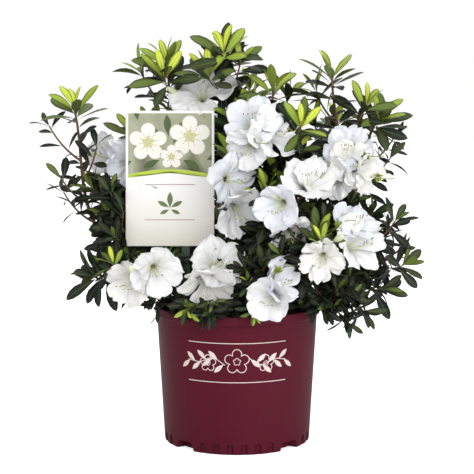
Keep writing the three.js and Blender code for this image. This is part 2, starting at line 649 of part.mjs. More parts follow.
// What the masses keep clear of: the limbs, the pot with its soil, and the label with the room before it.
const ROOM = 1;
const RIM_WIDTH = 5;
const potSpace = solidFrom(
  turned(
    [
      [0, -ROOM],
      [POT_BASE_RADIUS + ROOM, -ROOM],
      [POT_WALL_TOP_RADIUS + ROOM, POT_HEIGHT - RIM_HEIGHT - RIM_STEP - ROOM],
      [RIM_RADIUS + ROOM, POT_HEIGHT - RIM_HEIGHT - ROOM],
      [RIM_RADIUS + ROOM, POT_HEIGHT + ROOM],
      [RIM_RADIUS - RIM_WIDTH, POT_HEIGHT + ROOM],
      [RIM_RADIUS - RIM_WIDTH, SOIL_TOP + ROOM],
      [0, SOIL_TOP + ROOM],
    ],
    POT_SIDES,
  ),
);
const labelSpace = label(2 * CLEARANCE).add(labelView());
const keepClear = [...limbs.map((limb) => limb.space), potSpace, labelSpace].map((space) => {
  return { solid: space, box: space.boundingBox() };
});

function isFree(solid) {
  const box = solid.boundingBox();
  return !keepClear.some((thing) => meets(solid, box, thing.solid, thing.box));
}

// A mass of foliage as one solid: twigs, flowers and leaves that find room.
function massSolid(mass) {
  const leader = solidFrom(taperedLimb(mass.leader.curve, LEADER_RADII, TWIG_SIDES, LEADER_STEPS));
  const parts = [leader];
  const grown = [[mass.leader, 0]];
  [...mass.shoots.slice(1), ...mass.twigs].forEach((shoot, i) => {
    const solid = solidFrom(taperedLimb(shoot.curve, shoot.radii, TWIG_SIDES, TWIG_STEPS));
    if (!isFree(solid)) return;
    parts.push(solid);
    if (i + 1 < mass.shoots.length) grown.push([shoot, i + 1]);
  });
  for (const knot of mass.knots) {
    parts.push(solidFrom(new THREE.OctahedronGeometry(KNOT_RADIUS)).translate(knot.toArray()));
  }
  for (const flower of mass.flowers) {
    const trials = FLOWER_SIZES.map((share) => ({ ...flower, size: flower.size * share }));
    const kept = trials.filter((trial) => keepsTo(mass, flowerPoints(trial)));
    const solid = kept.map((trial) => solidFrom(flowerGeometry(trial))).find(isFree);
    if (solid) parts.push(solid);
  }
  let whole = wasm.Manifold.union(parts);
  for (const [shoot, number] of grown) {
    for (const leaf of leavesOf(mass, shoot, number)) {
      const trials = LEAF_SIZES.flatMap((size) => LEAF_TURNS.map((turn) => turnedLeaf(leaf, turn, size)));
      const fits = trials.find((trial) => {
        if (!keepsTo(mass, leafPoints(trial))) return false;
        const bladeSolid = solidFrom(leafGeometry(blade(trial)));
        return whole.intersect(bladeSolid).isEmpty() && isFree(bladeSolid);
      });
      const solid = fits && solidFrom(leafGeometry(fits));
      if (solid && isFree(solid)) whole = whole.add(solid);
    }
  }
  const bough = limbs.find((limb) => limb.name === `bough_${mass.name}`);
  const joined = welded(whole.subtract(bough.space).simplify(MERGE_TOLERANCE));
  keepClear.push({ solid: joined, box: joined.boundingBox() });
  return joined;
}

function finish(color, roughness) {
  return new THREE.MeshStandardMaterial({ color, roughness, metalness: 0 });
}
const potFinish = finish("#5c1c2b", 0.45);
const soilFinish = finish("#33241b", 0.95);
const barkFinish = finish("#5a3a2a", 0.85);
const foliageFinish = finish("#3f5a26", 0.55);
const cardFinish = finish("#f3f0e4", 0.4);

const azalea = new THREE.Group();
azalea.name = "azalea_shrub_in_pot";
function add(name, solid, material) {
  const mesh = new THREE.Mesh(geometryFrom(solid), material);
  mesh.name = name;
  azalea.add(mesh);
}

add("pot", welded(potSolid()), potFinish);
add("soil", welded(soilSolid()), soilFinish);
add("label_card", welded(label()), cardFinish);
for (const { name, solid } of limbs) add(name, solid, barkFinish);
for (const mass of masses) add(`foliage_${mass.name}`, massSolid(mass), foliageFinish);

export default azalea;
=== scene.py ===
"""A white azalea in a nursery pot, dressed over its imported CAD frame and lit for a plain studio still.

Lengths are millimetres until a mesh is made, which is in metres. +Z is up and -Y is the front. Bearings are
degrees round the pot's axis, from +X towards the back. A curve is the four control points of a cubic.
"""

import math

import bmesh
import bpy
import numpy as np
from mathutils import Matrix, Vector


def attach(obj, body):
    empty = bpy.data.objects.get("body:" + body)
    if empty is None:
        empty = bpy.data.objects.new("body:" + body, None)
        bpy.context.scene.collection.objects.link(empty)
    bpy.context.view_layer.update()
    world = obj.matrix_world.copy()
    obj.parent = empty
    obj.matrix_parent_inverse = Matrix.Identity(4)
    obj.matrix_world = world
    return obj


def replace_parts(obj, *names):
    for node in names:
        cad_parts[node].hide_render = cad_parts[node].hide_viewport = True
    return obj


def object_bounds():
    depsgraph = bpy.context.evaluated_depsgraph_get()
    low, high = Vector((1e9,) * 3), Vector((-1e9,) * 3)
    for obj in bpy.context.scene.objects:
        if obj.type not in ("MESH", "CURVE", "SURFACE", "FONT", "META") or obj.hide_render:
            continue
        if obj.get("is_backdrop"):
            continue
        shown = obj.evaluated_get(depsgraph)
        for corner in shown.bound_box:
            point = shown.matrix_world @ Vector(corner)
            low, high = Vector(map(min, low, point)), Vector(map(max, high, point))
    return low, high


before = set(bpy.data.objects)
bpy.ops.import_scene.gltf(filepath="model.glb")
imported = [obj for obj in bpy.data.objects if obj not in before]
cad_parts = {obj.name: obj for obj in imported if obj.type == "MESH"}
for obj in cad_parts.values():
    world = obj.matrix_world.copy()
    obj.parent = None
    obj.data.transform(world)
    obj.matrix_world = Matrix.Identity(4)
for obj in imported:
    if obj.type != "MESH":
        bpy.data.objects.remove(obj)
cad_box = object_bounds()


# Nursery pot: one moulded shell of maroon polypropylene, wider at the top, with a rolled rim. Four drain
# notches cut its foot, and short arched flutes between them stiffen the wall.
METRES = 0.001
POT_HEIGHT = 192
POT_BASE_RADIUS = 102
POT_WALL_TOP_RADIUS = 112.4
RIM_RADIUS = 115
RIM_HEIGHT = 12
RIM_THICKNESS = 3
POT_WALL = 2.2
POT_FLOOR = 3
POT_TURNS = 720
UNDERSIDE = 19.5
FOOT_HEIGHT = 19
FOOT_EDGE = 1.6
FOOT_STEP = 0.7
RIM_STEP = 1.5
RIM_EDGES = (0.6, 1.3, 1.5, 1.4)
WALL_STEP = 6
INSIDE_TOP = 160
INSIDE_EDGE = 2
INSIDE_STEP = 12
NOTCH_BEARING = 45
NOTCH_HALF_WIDTH = 16
NOTCH_SLOPE = 4
NOTCH_HEIGHT = 12
NOTCH_DEPTH = 13
FLUTES_A_FOOT = 6
FLUTE_PITCH = 10.8
FLUTE_HALF_WIDTH = 4.5
FLUTE_HEIGHT = 15
FLUTE_DEPTH = 2.4
MOULDED_EDGE = 1.5
MOULDED_SHADE = 7
MAROON = (0.073, 0.0022, 0.0115)
MAROON_WORN = (0.095, 0.0055, 0.018)
MAROON_SHADED = (0.014, 0.0008, 0.003)
GRAIN_RANGE = (0.3, 0.7)
GRAIN_DETAIL = 4.0
GRAIN_ROUGHNESS = 0.55


def eased(x):
    """A step that rises from 0 to 1 as x does and is level at both ends: 3x^2 - 2x^3."""
    x = np.clip(x, 0, 1)
    return x * x * (3 - 2 * x)


def between(start, end, spacing):
    """Points strictly between start and end, at equal steps no longer than the spacing."""
    steps = max(1, math.ceil(np.linalg.norm(end - start) / spacing))
    shares = np.arange(1, steps)[:, None] / steps
    return start + shares * (end - start)


def rounded_path(corners, radii, spacing):
    """Points along a polyline with rounded corners. Each inner corner gives way to the quadratic curve
    between the points one radius before and after it, and the straight stretches are cut at the spacing."""
    corners = np.array(corners, float)
    ways = np.diff(corners, axis=0)
    ways /= np.linalg.norm(ways, axis=1)[:, None]
    bend = np.linspace(0, 1, 5)[:, None]
    stretches = [corners[:1]]
    for corner, before, after, radius in zip(corners[1:-1], ways, ways[1:], radii):
        first, last = corner - before * radius, corner + after * radius
        curve = (1 - bend) ** 2 * first + 2 * bend * (1 - bend) * corner + bend**2 * last
        stretches += [between(stretches[-1][-1], first, spacing), curve]
    stretches += [between(stretches[-1][-1], corners[-1], spacing), corners[-1:]]
    return np.concatenate(stretches)


def grid_faces(rows, columns, wrapped=False, copies=1):
    """Four-cornered faces of a grid of rows and columns, whose columns may close into a ring, for so many
    copies of it one after another. They face where the column direction crossed with the row direction
    points."""
    last = columns if wrapped else columns - 1
    row, column = np.meshgrid(np.arange(rows - 1), np.arange(last), indexing="ij")
    after = (column + 1) % columns
    corners = [row * columns + column, row * columns + after]
    corners += [(row + 1) * columns + after, (row + 1) * columns + column]
    one = np.stack(corners, -1).reshape(-1, 4)
    shifts = np.arange(copies) * rows * columns
    return (one[None] + shifts[:, None, None]).reshape(-1, 4)


def add_piece(name, places, faces, material, surface=None, closed=False):
    """A smooth mesh from places in millimetres and an array of faces, which rides on the shrub's one body.
    surface gives each place's two parameters for the UV map. closed merges its seams and poles."""
    mesh = bpy.data.meshes.new(name)
    places = np.asarray(places, float).reshape(-1, 3) * METRES
    mesh.vertices.add(len(places))
    mesh.vertices.foreach_set("co", places.astype(np.float32).ravel())
    mesh.loops.add(faces.size)
    mesh.loops.foreach_set("vertex_index", faces.astype(np.int32).ravel())
    mesh.polygons.add(len(faces))
    mesh.polygons.foreach_set("loop_start", np.arange(0, faces.size, faces.shape[1], dtype=np.int32))
    mesh.update(calc_edges=True)
    if surface is not None:
        spread = np.asarray(surface, np.float32).reshape(-1, 2)[faces.ravel()]
        mesh.uv_layers.new(name="surface").data.foreach_set("uv", spread.ravel())
    if closed:
        shell = bmesh.new()
        shell.from_mesh(mesh)
        bmesh.ops.remove_doubles(shell, verts=shell.verts, dist=1e-6)
        shell.to_mesh(mesh)
        shell.free()
    mesh.polygons.foreach_set("use_smooth", np.ones(len(mesh.polygons), bool))
    mesh.materials.append(material)
    piece = bpy.data.objects.new(name, mesh)
    bpy.context.scene.collection.objects.link(piece)
    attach(piece, "root")
    return piece


def place_node(tree, kind, sockets=None, **settings):
    """A new node with its settings. Each named input socket is given a value or is linked to an output."""
    node = tree.nodes.new(kind)
    for setting, value in settings.items():
        setattr(node, setting, value)
    for label, value in (sockets or {}).items():
        if isinstance(value, bpy.types.NodeSocket):
            tree.links.new(value, node.inputs[label])
        else:
            node.inputs[label].default_value = value
    return node


def new_group(name, inputs, outputs):
    """A shader node group with named number inputs, given with their values, and named number outputs.
    Returns it with the sockets that its nodes read and the node that its results go to."""
    group = bpy.data.node_groups.new(name, "ShaderNodeTree")
    for label, value in inputs.items():
        socket = group.interface.new_socket(label, in_out="INPUT", socket_type="NodeSocketFloat")
        socket.default_value = value
    for label in outputs:
        group.interface.new_socket(label, in_out="OUTPUT", socket_type="NodeSocketFloat")
    given = place_node(group, "NodeGroupInput").outputs
    return group, given, place_node(group, "NodeGroupOutput")


def new_material(name, colour, roughness, **plain):
    """A Principled material with its plain values on the shader's own sockets, whose names have underscores
    here for spaces. Returns it with its node tree and its shader."""
    material = bpy.data.materials.new(name)
    material.use_nodes = True
    shader = material.node_tree.nodes["Principled BSDF"]
    shader.inputs["Base Color"].default_value = (*colour, 1)
    shader.inputs["Roughness"].default_value = roughness
    for label, value in plain.items():
        shader.inputs[label.replace("_", " ")].default_value = value
    return material, material.node_tree, shader


def vary_colour(tree, shader, mask, first, second):
    """Blends the first colour into the second by the mask, feeds the base colour and returns the blend.
    Each of the two is three numbers or another blend."""
    blend = place_node(tree, "ShaderNodeMix", {"Factor": mask}, data_type="RGBA")
    ends = [socket for socket in blend.inputs if socket.type == "RGBA"]
    for end, colour in zip(ends, (first, second)):
        if isinstance(colour, bpy.types.NodeSocket):
            tree.links.new(colour, end)
        else:
            end.default_value = (*colour, 1)
    result = next(socket for socket in blend.outputs if socket.type == "RGBA")
    tree.links.new(result, shader.inputs["Base Color"])
    return result


def vary_roughness(tree, shader, mask, least, most):
    """Spreads a grain mask, which lies about its middle, over a roughness from least to most."""
    low, high = GRAIN_RANGE
    spread = {"Value": mask, "From Min": low, "From Max": high, "To Min": least, "To Max": most}
    rough = place_node(tree, "ShaderNodeMapRange", spread)
    tree.links.new(rough.outputs[0], shader.inputs["Roughness"])


def raise_relief(tree, shader, height, depth, strength=1.0):
    """Bumps the surface by a height from 0 to 1 over a depth in millimetres."""
    sockets = {"Height": height, "Distance": depth * METRES, "Strength": strength}
    tree.links.new(place_node(tree, "ShaderNodeBump", sockets).outputs[0], shader.inputs["Normal"])


# Grain: noise over the piece's own Object coordinates at a coarse and a fine scale, stretched upright.
grain_group, given, results = new_group(
    "surface_grain", {"Coarse": 20, "Fine": 200, "Upright": 1}, ["Coarse", "Fine"]
)
where = place_node(grain_group, "ShaderNodeTexCoord").outputs["Object"]
stretch = place_node(grain_group, "ShaderNodeCombineXYZ", {"X": 1.0, "Y": 1.0, "Z": given["Upright"]})
sockets = {0: where, 1: stretch.outputs[0]}
laid = place_node(grain_group, "ShaderNodeVectorMath", sockets, operation="MULTIPLY")
for label in ("Coarse", "Fine"):
    sockets = {"Vector": laid.outputs[0], "Scale": given[label]}
    sockets |= {"Detail": GRAIN_DETAIL, "Roughness": GRAIN_ROUGHNESS}
    noise = place_node(grain_group, "ShaderNodeTexNoise", sockets)
    grain_group.links.new(noise.outputs[0], results.inputs[label])


def place_grain(tree, coarse, fine, upright=1.0):
    """The grain group placed in a material, with its scales. Returns its two masks."""
    scales = {"Coarse": coarse, "Fine": fine, "Upright": upright}
    node = place_node(tree, "ShaderNodeGroup", scales, node_tree=grain_group)
    return node.outputs["Coarse"], node.outputs["Fine"]


def grained_material(name, colour, roughness, scales, ends, relief=None, **plain):
    """A material whose colour goes from the first to the second of its ends by its coarse grain, and whose
    fine grain raises it by the relief in millimetres."""
    material, tree, shader = new_material(name, colour, roughness, **plain)
    coarse, fine = place_grain(tree, *scales)
    vary_colour(tree, shader, coarse, *ends)
    if relief is not None:
        raise_relief(tree, shader, fine, relief)
    return material


def dimmed(colour, share):
    """The colour with each of its parts at a share of its value."""
    return tuple(share * part for part in colour)


def split_coordinates(tree, kind):
    """The X, Y and Z outputs of the piece's own UV or Object coordinates."""
    where = place_node(tree, "ShaderNodeTexCoord").outputs[kind]
    return place_node(tree, "ShaderNodeSeparateXYZ", {0: where}).outputs


def pot_radius(height):
    """The wall's outer radius, which widens evenly from the foot to the step under the rim."""
    wall = POT_HEIGHT - RIM_HEIGHT
    return POT_BASE_RADIUS + (POT_WALL_TOP_RADIUS - POT_BASE_RADIUS) * np.clip(height / wall, 0, 1)


def pot_shell():
    """A turned shell: an outline of radius and height carried round the axis. The wall is drawn in to a
    notch's depth inside the four notches, and by a flute's depth inside each arch. With it comes how
    steeply the moulding falls at each place, which is greatest halfway down an edge."""
    under_rim = POT_HEIGHT - RIM_HEIGHT
    foot = [(POT_BASE_RADIUS - UNDERSIDE, 0), (POT_BASE_RADIUS, 0), (pot_radius(FOOT_HEIGHT), FOOT_HEIGHT)]
    upper = [
        (pot_radius(FOOT_HEIGHT + 1), FOOT_HEIGHT + 1),
        (POT_WALL_TOP_RADIUS, under_rim - RIM_STEP),
        (RIM_RADIUS, under_rim),
        (RIM_RADIUS, POT_HEIGHT),
        (RIM_RADIUS - RIM_THICKNESS, POT_HEIGHT),
        (POT_WALL_TOP_RADIUS - POT_WALL, under_rim),
    ]
    inside = [
        (pot_radius(INSIDE_TOP) - POT_WALL, INSIDE_TOP),
        (POT_BASE_RADIUS - POT_WALL, POT_FLOOR),
        (0, POT_FLOOR),
    ]
    foot, upper = rounded_path(foot, [FOOT_EDGE], FOOT_STEP), rounded_path(upper, RIM_EDGES, WALL_STEP)
    outer = np.concatenate([[[0, 0]], foot, upper])
    path = np.concatenate([outer, rounded_path(inside, [INSIDE_EDGE], INSIDE_STEP)])
    within = (np.arange(len(path)) >= len(outer))[:, None] * POT_WALL
    angles = np.linspace(0, 2 * math.pi, POT_TURNS, endpoint=False)
    radius, height = path[:, :1], path[:, 1:]
    from_notch = np.radians((np.degrees(angles)[None] - NOTCH_BEARING + 45) % 90 - 45) * POT_BASE_RADIUS
    half = NOTCH_HALF_WIDTH - NOTCH_SLOPE * np.clip(height / NOTCH_HEIGHT, 0, 1) + within
    notch = eased((half - np.abs(from_notch)) / MOULDED_EDGE + 0.5) * (height < NOTCH_HEIGHT + within)
    drawn_in = notch * np.clip(radius - (POT_BASE_RADIUS - NOTCH_DEPTH - within), 0, None)
    pitch = ((np.degrees(angles)[None] + 45) % 90 - 45) / FLUTE_PITCH
    from_flute = (pitch - np.floor(pitch) - 0.5) * np.radians(FLUTE_PITCH) * POT_BASE_RADIUS
    arch = np.clip((height - FLUTE_HEIGHT) / FLUTE_HALF_WIDTH + 1, 0, 2)
    rise = (1 - np.hypot(from_flute / FLUTE_HALF_WIDTH, arch)) * FLUTE_HALF_WIDTH / MOULDED_EDGE
    flute = eased(rise) * (np.abs(pitch) < FLUTES_A_FOOT / 2) * (radius > POT_BASE_RADIUS - 1) * (within == 0)
    round_radius = radius - drawn_in - FLUTE_DEPTH * flute * (1 - notch)
    places = np.stack([round_radius * np.cos(angles), round_radius * np.sin(angles), height + 0 * angles], -1)
    steep = np.minimum(MOULDED_SHADE * flute * (1 - flute), 1) * (1 - notch)
    return places, np.stack([steep, 0 * steep], -1)


pot_plastic, tree, shader = new_material("pot_plastic", MAROON, 0.5, Specular_IOR_Level=0.14)
coarse, fine = place_grain(tree, 9, 900, 0.35)
mottled = vary_colour(tree, shader, coarse, MAROON, MAROON_WORN)
# Painted shade: the colour darkens towards MAROON_SHADED down the steep edges of the flutes, by the steepness
# that pot_shell carries in the UV map.
vary_colour(tree, shader, split_coordinates(tree, "UV")["X"], mottled, MAROON_SHADED)
vary_roughness(tree, shader, coarse, 0.44, 0.58)
raise_relief(tree, shader, fine, 0.05)

shell, steepness = pot_shell()
shell_faces = grid_faces(len(shell), POT_TURNS, wrapped=True)
pot = add_piece("pot_shell", shell, shell_faces, pot_plastic, steepness, closed=True)
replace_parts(pot, "pot")


# Print on the pot: pale ink laid on the wall, a garland of blossoms and leaves between two thin lines. It
# is a plain ornament where such pots carry a print.
INK_PROUD = 0.18
INK = (0.78, 0.66, 0.62)
GARLAND_MIDDLE = 131
GARLAND_START = 16
GARLAND_HALF = 70
GARLAND_SWELL = 6
GARLAND_WAVES = 1.5
INK_LINE = 1.1
BLOSSOM_SPOTS = [(0, 0, 17), (-40, -3, 11.5), (40, -3, 11.5)]
BLOSSOM_HEART = 0.3
LEAVES_A_SIDE = 7
INK_LEAF_SPOTS = (18, 67)
INK_LEAF_SIZE = (18, 6)
INK_LEAF_TURN = 42
RULE_HEIGHTS = (-29, 25)


def ink_line(path, width):
    """A line of ink: each point of a flat path gives a place half a width to either side of it."""
    path = np.array(path, float)
    ways = np.gradient(path, axis=0)
    ways /= np.linalg.norm(ways, axis=1)[:, None]
    across = np.stack([-ways[:, 1], ways[:, 0]], -1) * width / 2
    return np.stack([path + across, path - across], 1)


def ink_leaf(start, turn, length, width):
    """A leaf shape: half widths that follow a sine's bow along its length, turned by degrees."""
    share = np.linspace(0, 1, 12)
    bow = width / 2 * np.sin(math.pi * share**1.2) + 0.05
    along, aside = share * length, np.stack([bow, -bow], 1)
    way = np.array([math.cos(math.radians(turn)), math.sin(math.radians(turn))])
    left = np.array([-way[1], way[0]])
    return np.array(start) + along[:, None, None] * way + aside[..., None] * left


def blossom_outline(size, points=90):
    """A flower's outline: a radius that swells and narrows once for each of five round petals."""
    angles = np.linspace(0, 2 * math.pi, points)
    swell = np.abs(np.cos(5 * angles / 2)) ** 0.55
    radius = size * (0.5 + 0.5 * swell)
    return np.stack([radius * np.sin(angles), radius * np.cos(angles)], -1)


def garland_height(along):
    """The garland's stem, a sine wave that dies away towards both ends."""
    share = np.asarray(along, float) / GARLAND_HALF
    return GARLAND_SWELL * np.sin(math.pi * GARLAND_WAVES * share * 2) * (1 - share**2)


def on_pot_wall(flat, proud):
    """Carries a flat drawing onto the wall: its numbers are the arc from the front and the height."""
    radius = pot_radius(flat[..., 1])
    angle = -math.pi / 2 + flat[..., 0] / radius
    radius = radius + proud
    return np.stack([radius * np.cos(angle), radius * np.sin(angle), flat[..., 1]], -1)


def join_grids(grids, wrapped=False):
    """Places and faces of several grids, one after another, whose columns may close into rings."""
    places, faces, start = [], [], 0
    for grid in grids:
        rows, columns = grid.shape[:2]
        places.append(grid.reshape(-1, grid.shape[-1]))
        faces.append(grid_faces(rows, columns, wrapped) + start)
        start += rows * columns
    return np.concatenate(places), np.concatenate(faces)


marks = []
for side in (-1, 1):
    run = np.linspace(side * GARLAND_START, side * GARLAND_HALF, 40)
    marks.append(ink_line(np.stack([run, garland_height(run)], -1), INK_LINE))
    for number, spot in enumerate(side * np.linspace(*INK_LEAF_SPOTS, LEAVES_A_SIDE)):
        turn = INK_LEAF_TURN if number % 2 else -INK_LEAF_TURN
        start = (spot, float(garland_height(spot)))
        marks.append(ink_leaf(start, turn if side > 0 else 180 - turn, *INK_LEAF_SIZE))
for x, y, size in BLOSSOM_SPOTS:
    marks.append(ink_line(blossom_outline(size) + [x, y], INK_LINE))
    marks.append(ink_line(blossom_outline(size * BLOSSOM_HEART, 30) + [x, y], INK_LINE * 0.8))
for height in RULE_HEIGHTS:
    rule = np.stack([np.linspace(-GARLAND_HALF, GARLAND_HALF, 90), np.full(90, float(height))], -1)
    marks.append(ink_line(rule, INK_LINE))
flat, faces = join_grids(marks)
print_ink = grained_material("print_ink", INK, 0.5, (30, 600), (INK, dimmed(INK, 0.82)), 0.03)
add_piece("pot_print", on_pot_wall(flat + [0, GARLAND_MIDDLE], INK_PROUD), faces, print_ink)


# Potting soil: dark milled bark and peat, a little mounded to the stem and lower at the wall, with loose
# chips of bark on it.
SOIL_TOP = 178
SOIL_LEVEL_RADIUS = 62
SOIL_EDGE_DROP = 4
SOIL_FLOOR = POT_FLOOR + 16
SOIL_GAP = 0.6
SOIL_RINGS = 44
SOIL_TURNS = 150
SOIL_ROUGHNESS = 1.5
CHIP_COUNT = 700
CHIP_LENGTH = (4, 12)
CHIP_REACH = 104
SOIL_BROWN = (0.022, 0.014, 0.009)
SOIL_PALE = (0.06, 0.038, 0.024)
CHIP_BROWN = (0.06, 0.032, 0.018)
CHIP_PALE = (0.13, 0.08, 0.05)


def soil_height(x, y):
    """Level round the stem and falling evenly from there to the wall, with three crossed sets of waves."""
    reach = np.hypot(x, y)
    fall = np.clip((reach - SOIL_LEVEL_RADIUS) / (pot_radius(SOIL_TOP) - SOIL_LEVEL_RADIUS), 0, 1)
    waves = np.sin(x / 3.1 + 1.3 * np.sin(y / 5.3)) + np.sin(y / 2.6 + np.sin(x / 4.7))
    waves = waves + np.sin((x + y) / 1.7)
    return SOIL_TOP - SOIL_EDGE_DROP * fall + SOIL_ROUGHNESS * waves / 3 - SOIL_ROUGHNESS / 2


def soil_shell():
    """Rings from the middle to the wall at the soil's height, then down the wall and back to the axis."""
    angles = np.linspace(0, 2 * math.pi, SOIL_TURNS, endpoint=False)
    edge = pot_radius(SOIL_TOP - SOIL_EDGE_DROP) - POT_WALL - SOIL_GAP
    low_edge = pot_radius(SOIL_FLOOR) - POT_WALL - SOIL_GAP
    reach = np.concatenate([np.linspace(0, edge, SOIL_RINGS), [edge, low_edge, 0]])
    x, y = reach[:, None] * np.cos(angles), reach[:, None] * np.sin(angles)
    z = soil_height(x, y)
    z[-3:] = np.array([[SOIL_TOP - 3 * SOIL_EDGE_DROP], [SOIL_FLOOR], [SOIL_FLOOR]])
    return np.stack([x, y, z], -1)


def bark_chips(chance):
    """Flat splinters: a five-sided ring with a swollen middle and two pointed ends, each laid at its own
    bearing and tilt on the soil. Its length, width and thickness are drawn from the chance."""
    bearing = chance.uniform(0, 2 * math.pi, CHIP_COUNT)
    reach = CHIP_REACH * np.sqrt(chance.uniform(0.02, 1, CHIP_COUNT))
    middle = np.stack([reach * np.cos(bearing), reach * np.sin(bearing)], -1)
    height = soil_height(middle[:, 0], middle[:, 1]) + 0.4
    length = chance.uniform(*CHIP_LENGTH, CHIP_COUNT)
    share = np.array([0, 0.15, 0.55, 0.85, 1])
    round_it = np.linspace(0, 2 * math.pi, 6)[:-1]
    swell = np.array([0, 0.8, 1, 0.7, 0])[:, None] * (1 + 0.25 * chance.uniform(-1, 1, (CHIP_COUNT, 5, 5)))
    along = (share - 0.5)[None, :, None] * length[:, None, None] + np.zeros((CHIP_COUNT, 5, 5))
    aside = swell * np.cos(round_it) * (length * chance.uniform(0.16, 0.3, CHIP_COUNT))[:, None, None]
    lift = swell * np.sin(round_it) * (length * 0.09)[:, None, None]
    turn, tilt = chance.uniform(0, 2 * math.pi, CHIP_COUNT), chance.normal(0, 0.22, CHIP_COUNT)
    turn, tilt = turn[:, None, None], tilt[:, None, None]
    lift = lift + along * np.sin(tilt)
    x = middle[:, 0, None, None] + along * np.cos(turn) - aside * np.sin(turn)
    y = middle[:, 1, None, None] + along * np.sin(turn) + aside * np.cos(turn)
    return np.stack([x, y, height[:, None, None] + lift], -1)


peat, tree, shader = new_material("peat_and_bark", SOIL_BROWN, 0.95)
coarse, fine = place_grain(tree, 60, 700)
vary_colour(tree, shader, fine, SOIL_BROWN, SOIL_PALE)
raise_relief(tree, shader, fine, 0.9)
ground = soil_shell()
soil_faces = grid_faces(len(ground), SOIL_TURNS, wrapped=True)[:, ::-1]
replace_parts(add_piece("soil_ground", ground, soil_faces, peat, closed=True), "soil")
chip_bark = grained_material("chip_bark", CHIP_BROWN, 0.85, (55, 500), (CHIP_BROWN, CHIP_PALE), 0.4)
chips = bark_chips(np.random.default_rng(11))
chip_faces = grid_faces(5, 5, wrapped=True, copies=CHIP_COUNT)
add_piece("soil_chips", chips, chip_faces, chip_bark, closed=True)


# Trunk, main stems and boughs: brown bark with shallow furrows. The trunk flares into the soil, five stems
# leave its top, and a bough goes from a stem to each mass of foliage.
UP = np.array([0.0, 0.0, 1.0])
LIMB_SIDE = np.array([0.31, 0.95, 0.07])
CLEARANCE = 0.3
TRUNK_HEIGHT = 36
TRUNK_RADII = (14, 9.5)
TRUNK_FLARE = 2.5
TRUNK_LEAN = 3
TRUNK_SUNK = -0.15
TRUNK_ROWS = 40
TRUNK_TURNS = 48
ROOT_LOBES = 5
ROOT_SWELL = 0.3
TRUNK_FURROWS = 9
LIMB_FURROWS = 3
STEM_RADII = (6, 3.9)
STEM_UPTURN = 0.25
STEM_LIFT = 6
BOUGH_RADII = (3.6, 2.6)
BOUGH_TURN = 0.6
LIMB_ROWS = 34
LIMB_TURNS = 14
BARK_BROWN = (0.05, 0.03, 0.02)
BARK_GREY = (0.13, 0.1, 0.078)

# Each stem's bearing, the height at which it leaves the trunk, its rise above the level and its length.
STEMS = {
    "left": (178, 20, 38, 84),
    "front": (268, 15, 40, 72),
    "right": (358, 20, 38, 84),
    "back": (88, 15, 42, 80),
    "top": (80, 34, 87, 104),
}

# Each mass of foliage: its stem, the share of the stem at which its bough leaves, the bearing, reach and
# height of its tip, its leading shoot's length and lean, and the bearing of its first side shoot.
MASSES = {
    "left_tall": ("left", 0.8, (183, 224, 466), 186, 12, 85),
    "left_mid": ("left", 1, (188, 200, 356), 110, 38, 230),
    "left_low": ("left", 0.5, (192, 186, 252), 104, 66, 120),
    "front_left": ("front", 0.3, (212, 150, 250), 84, 52, 250),
    "top_left": ("top", 0.6, (174, 98, 528), 176, 8, 100),
    "crown_top": ("top", 1, (112, 34, 542), 168, 3, 190),
    "upper_mid": ("top", 0.84, (355, 50, 492), 150, 4, 306),
    "top_right": ("top", 0.7, (353, 131, 514), 176, 0, 70),
    "right_upper": ("right", 1, (4, 194, 452), 140, 20, 60),
    "right_mid": ("right", 0.8, (350, 188, 322), 96, 26, 40),
    "right_low": ("right", 0.6, (358, 226, 268), 118, 56, 60),
    "right_skirt": ("right", 0.38, (340, 172, 205), 84, 84, 300),
    "front_right": ("front", 0.84, (312, 160, 306), 92, 34, 20),
    "front_mid": ("front", 1, (292, 104, 360), 92, 14, 330),
    "centre_left": ("front", 0.68, (262, 60, 406), 120, 2, 190),
    "front_low_mid": ("front", 0.48, (286, 132, 262), 84, 56, 330),
    "front_low_left": ("front", 0.34, (246, 134, 212), 74, 76, 270),
    "back_left_mid": ("left", 0.66, (132, 196, 430), 150, 20, 170),
    "back_top": ("back", 1, (82, 132, 484), 160, 10, 80),
    "back_right_mid": ("back", 0.84, (44, 196, 434), 150, 20, 0),
    "back_left_low": ("back", 0.34, (155, 196, 286), 112, 52, 100),
    "back_low_left": ("back", 0.5, (115, 190, 270), 112, 54, 60),
    "back_low_right": ("back", 0.42, (72, 190, 262), 112, 56, 20),
    "back_right_low": ("back", 0.62, (30, 202, 284), 114, 52, 340),
}


def unit(vectors):
    """Each vector divided by its own length."""
    vectors = np.asarray(vectors, float)
    return vectors / np.linalg.norm(vectors, axis=-1, keepdims=True)


def polar(bearing, reach, height):
    """The point at a bearing in degrees, a reach from the pot's axis and a height."""
    angle = math.radians(bearing)
    return np.array([reach * math.cos(angle), reach * math.sin(angle), height])


def heading(bearing, rise):
    """A unit vector at a bearing, so many degrees above the level."""
    return polar(bearing, math.cos(math.radians(rise)), math.sin(math.radians(rise)))


def sweep(start, start_way, end, end_way, pull=0.36):
    """A cubic that leaves start along one way and reaches end along another. Its inner control points lie
    on those ways, a share of the whole distance from the ends."""
    handle = np.linalg.norm(end - start) * pull
    return np.array([start, start + start_way * handle, end - end_way * handle, end])


def curve_points(curves, shares):
    """Points of one or more cubics at shares of their parameter, by their control points' Bernstein sum."""
    t = np.atleast_1d(shares)[:, None]
    weights = np.concatenate([(1 - t) ** 3, 3 * t * (1 - t) ** 2, 3 * t * t * (1 - t), t**3], 1)
    return weights @ np.asarray(curves)


def curve_ways(curves, shares):
    """Unit tangents of one or more cubics, by the Bernstein sum of the steps between control points."""
    t = np.atleast_1d(shares)[:, None]
    weights = np.concatenate([(1 - t) ** 2, 2 * t * (1 - t), t * t], 1)
    return unit(weights @ np.diff(np.asarray(curves), axis=-2))


def curve_point(curve, share):
    """The one point of a cubic at a share of its parameter."""
    return curve_points(curve, share)[0]


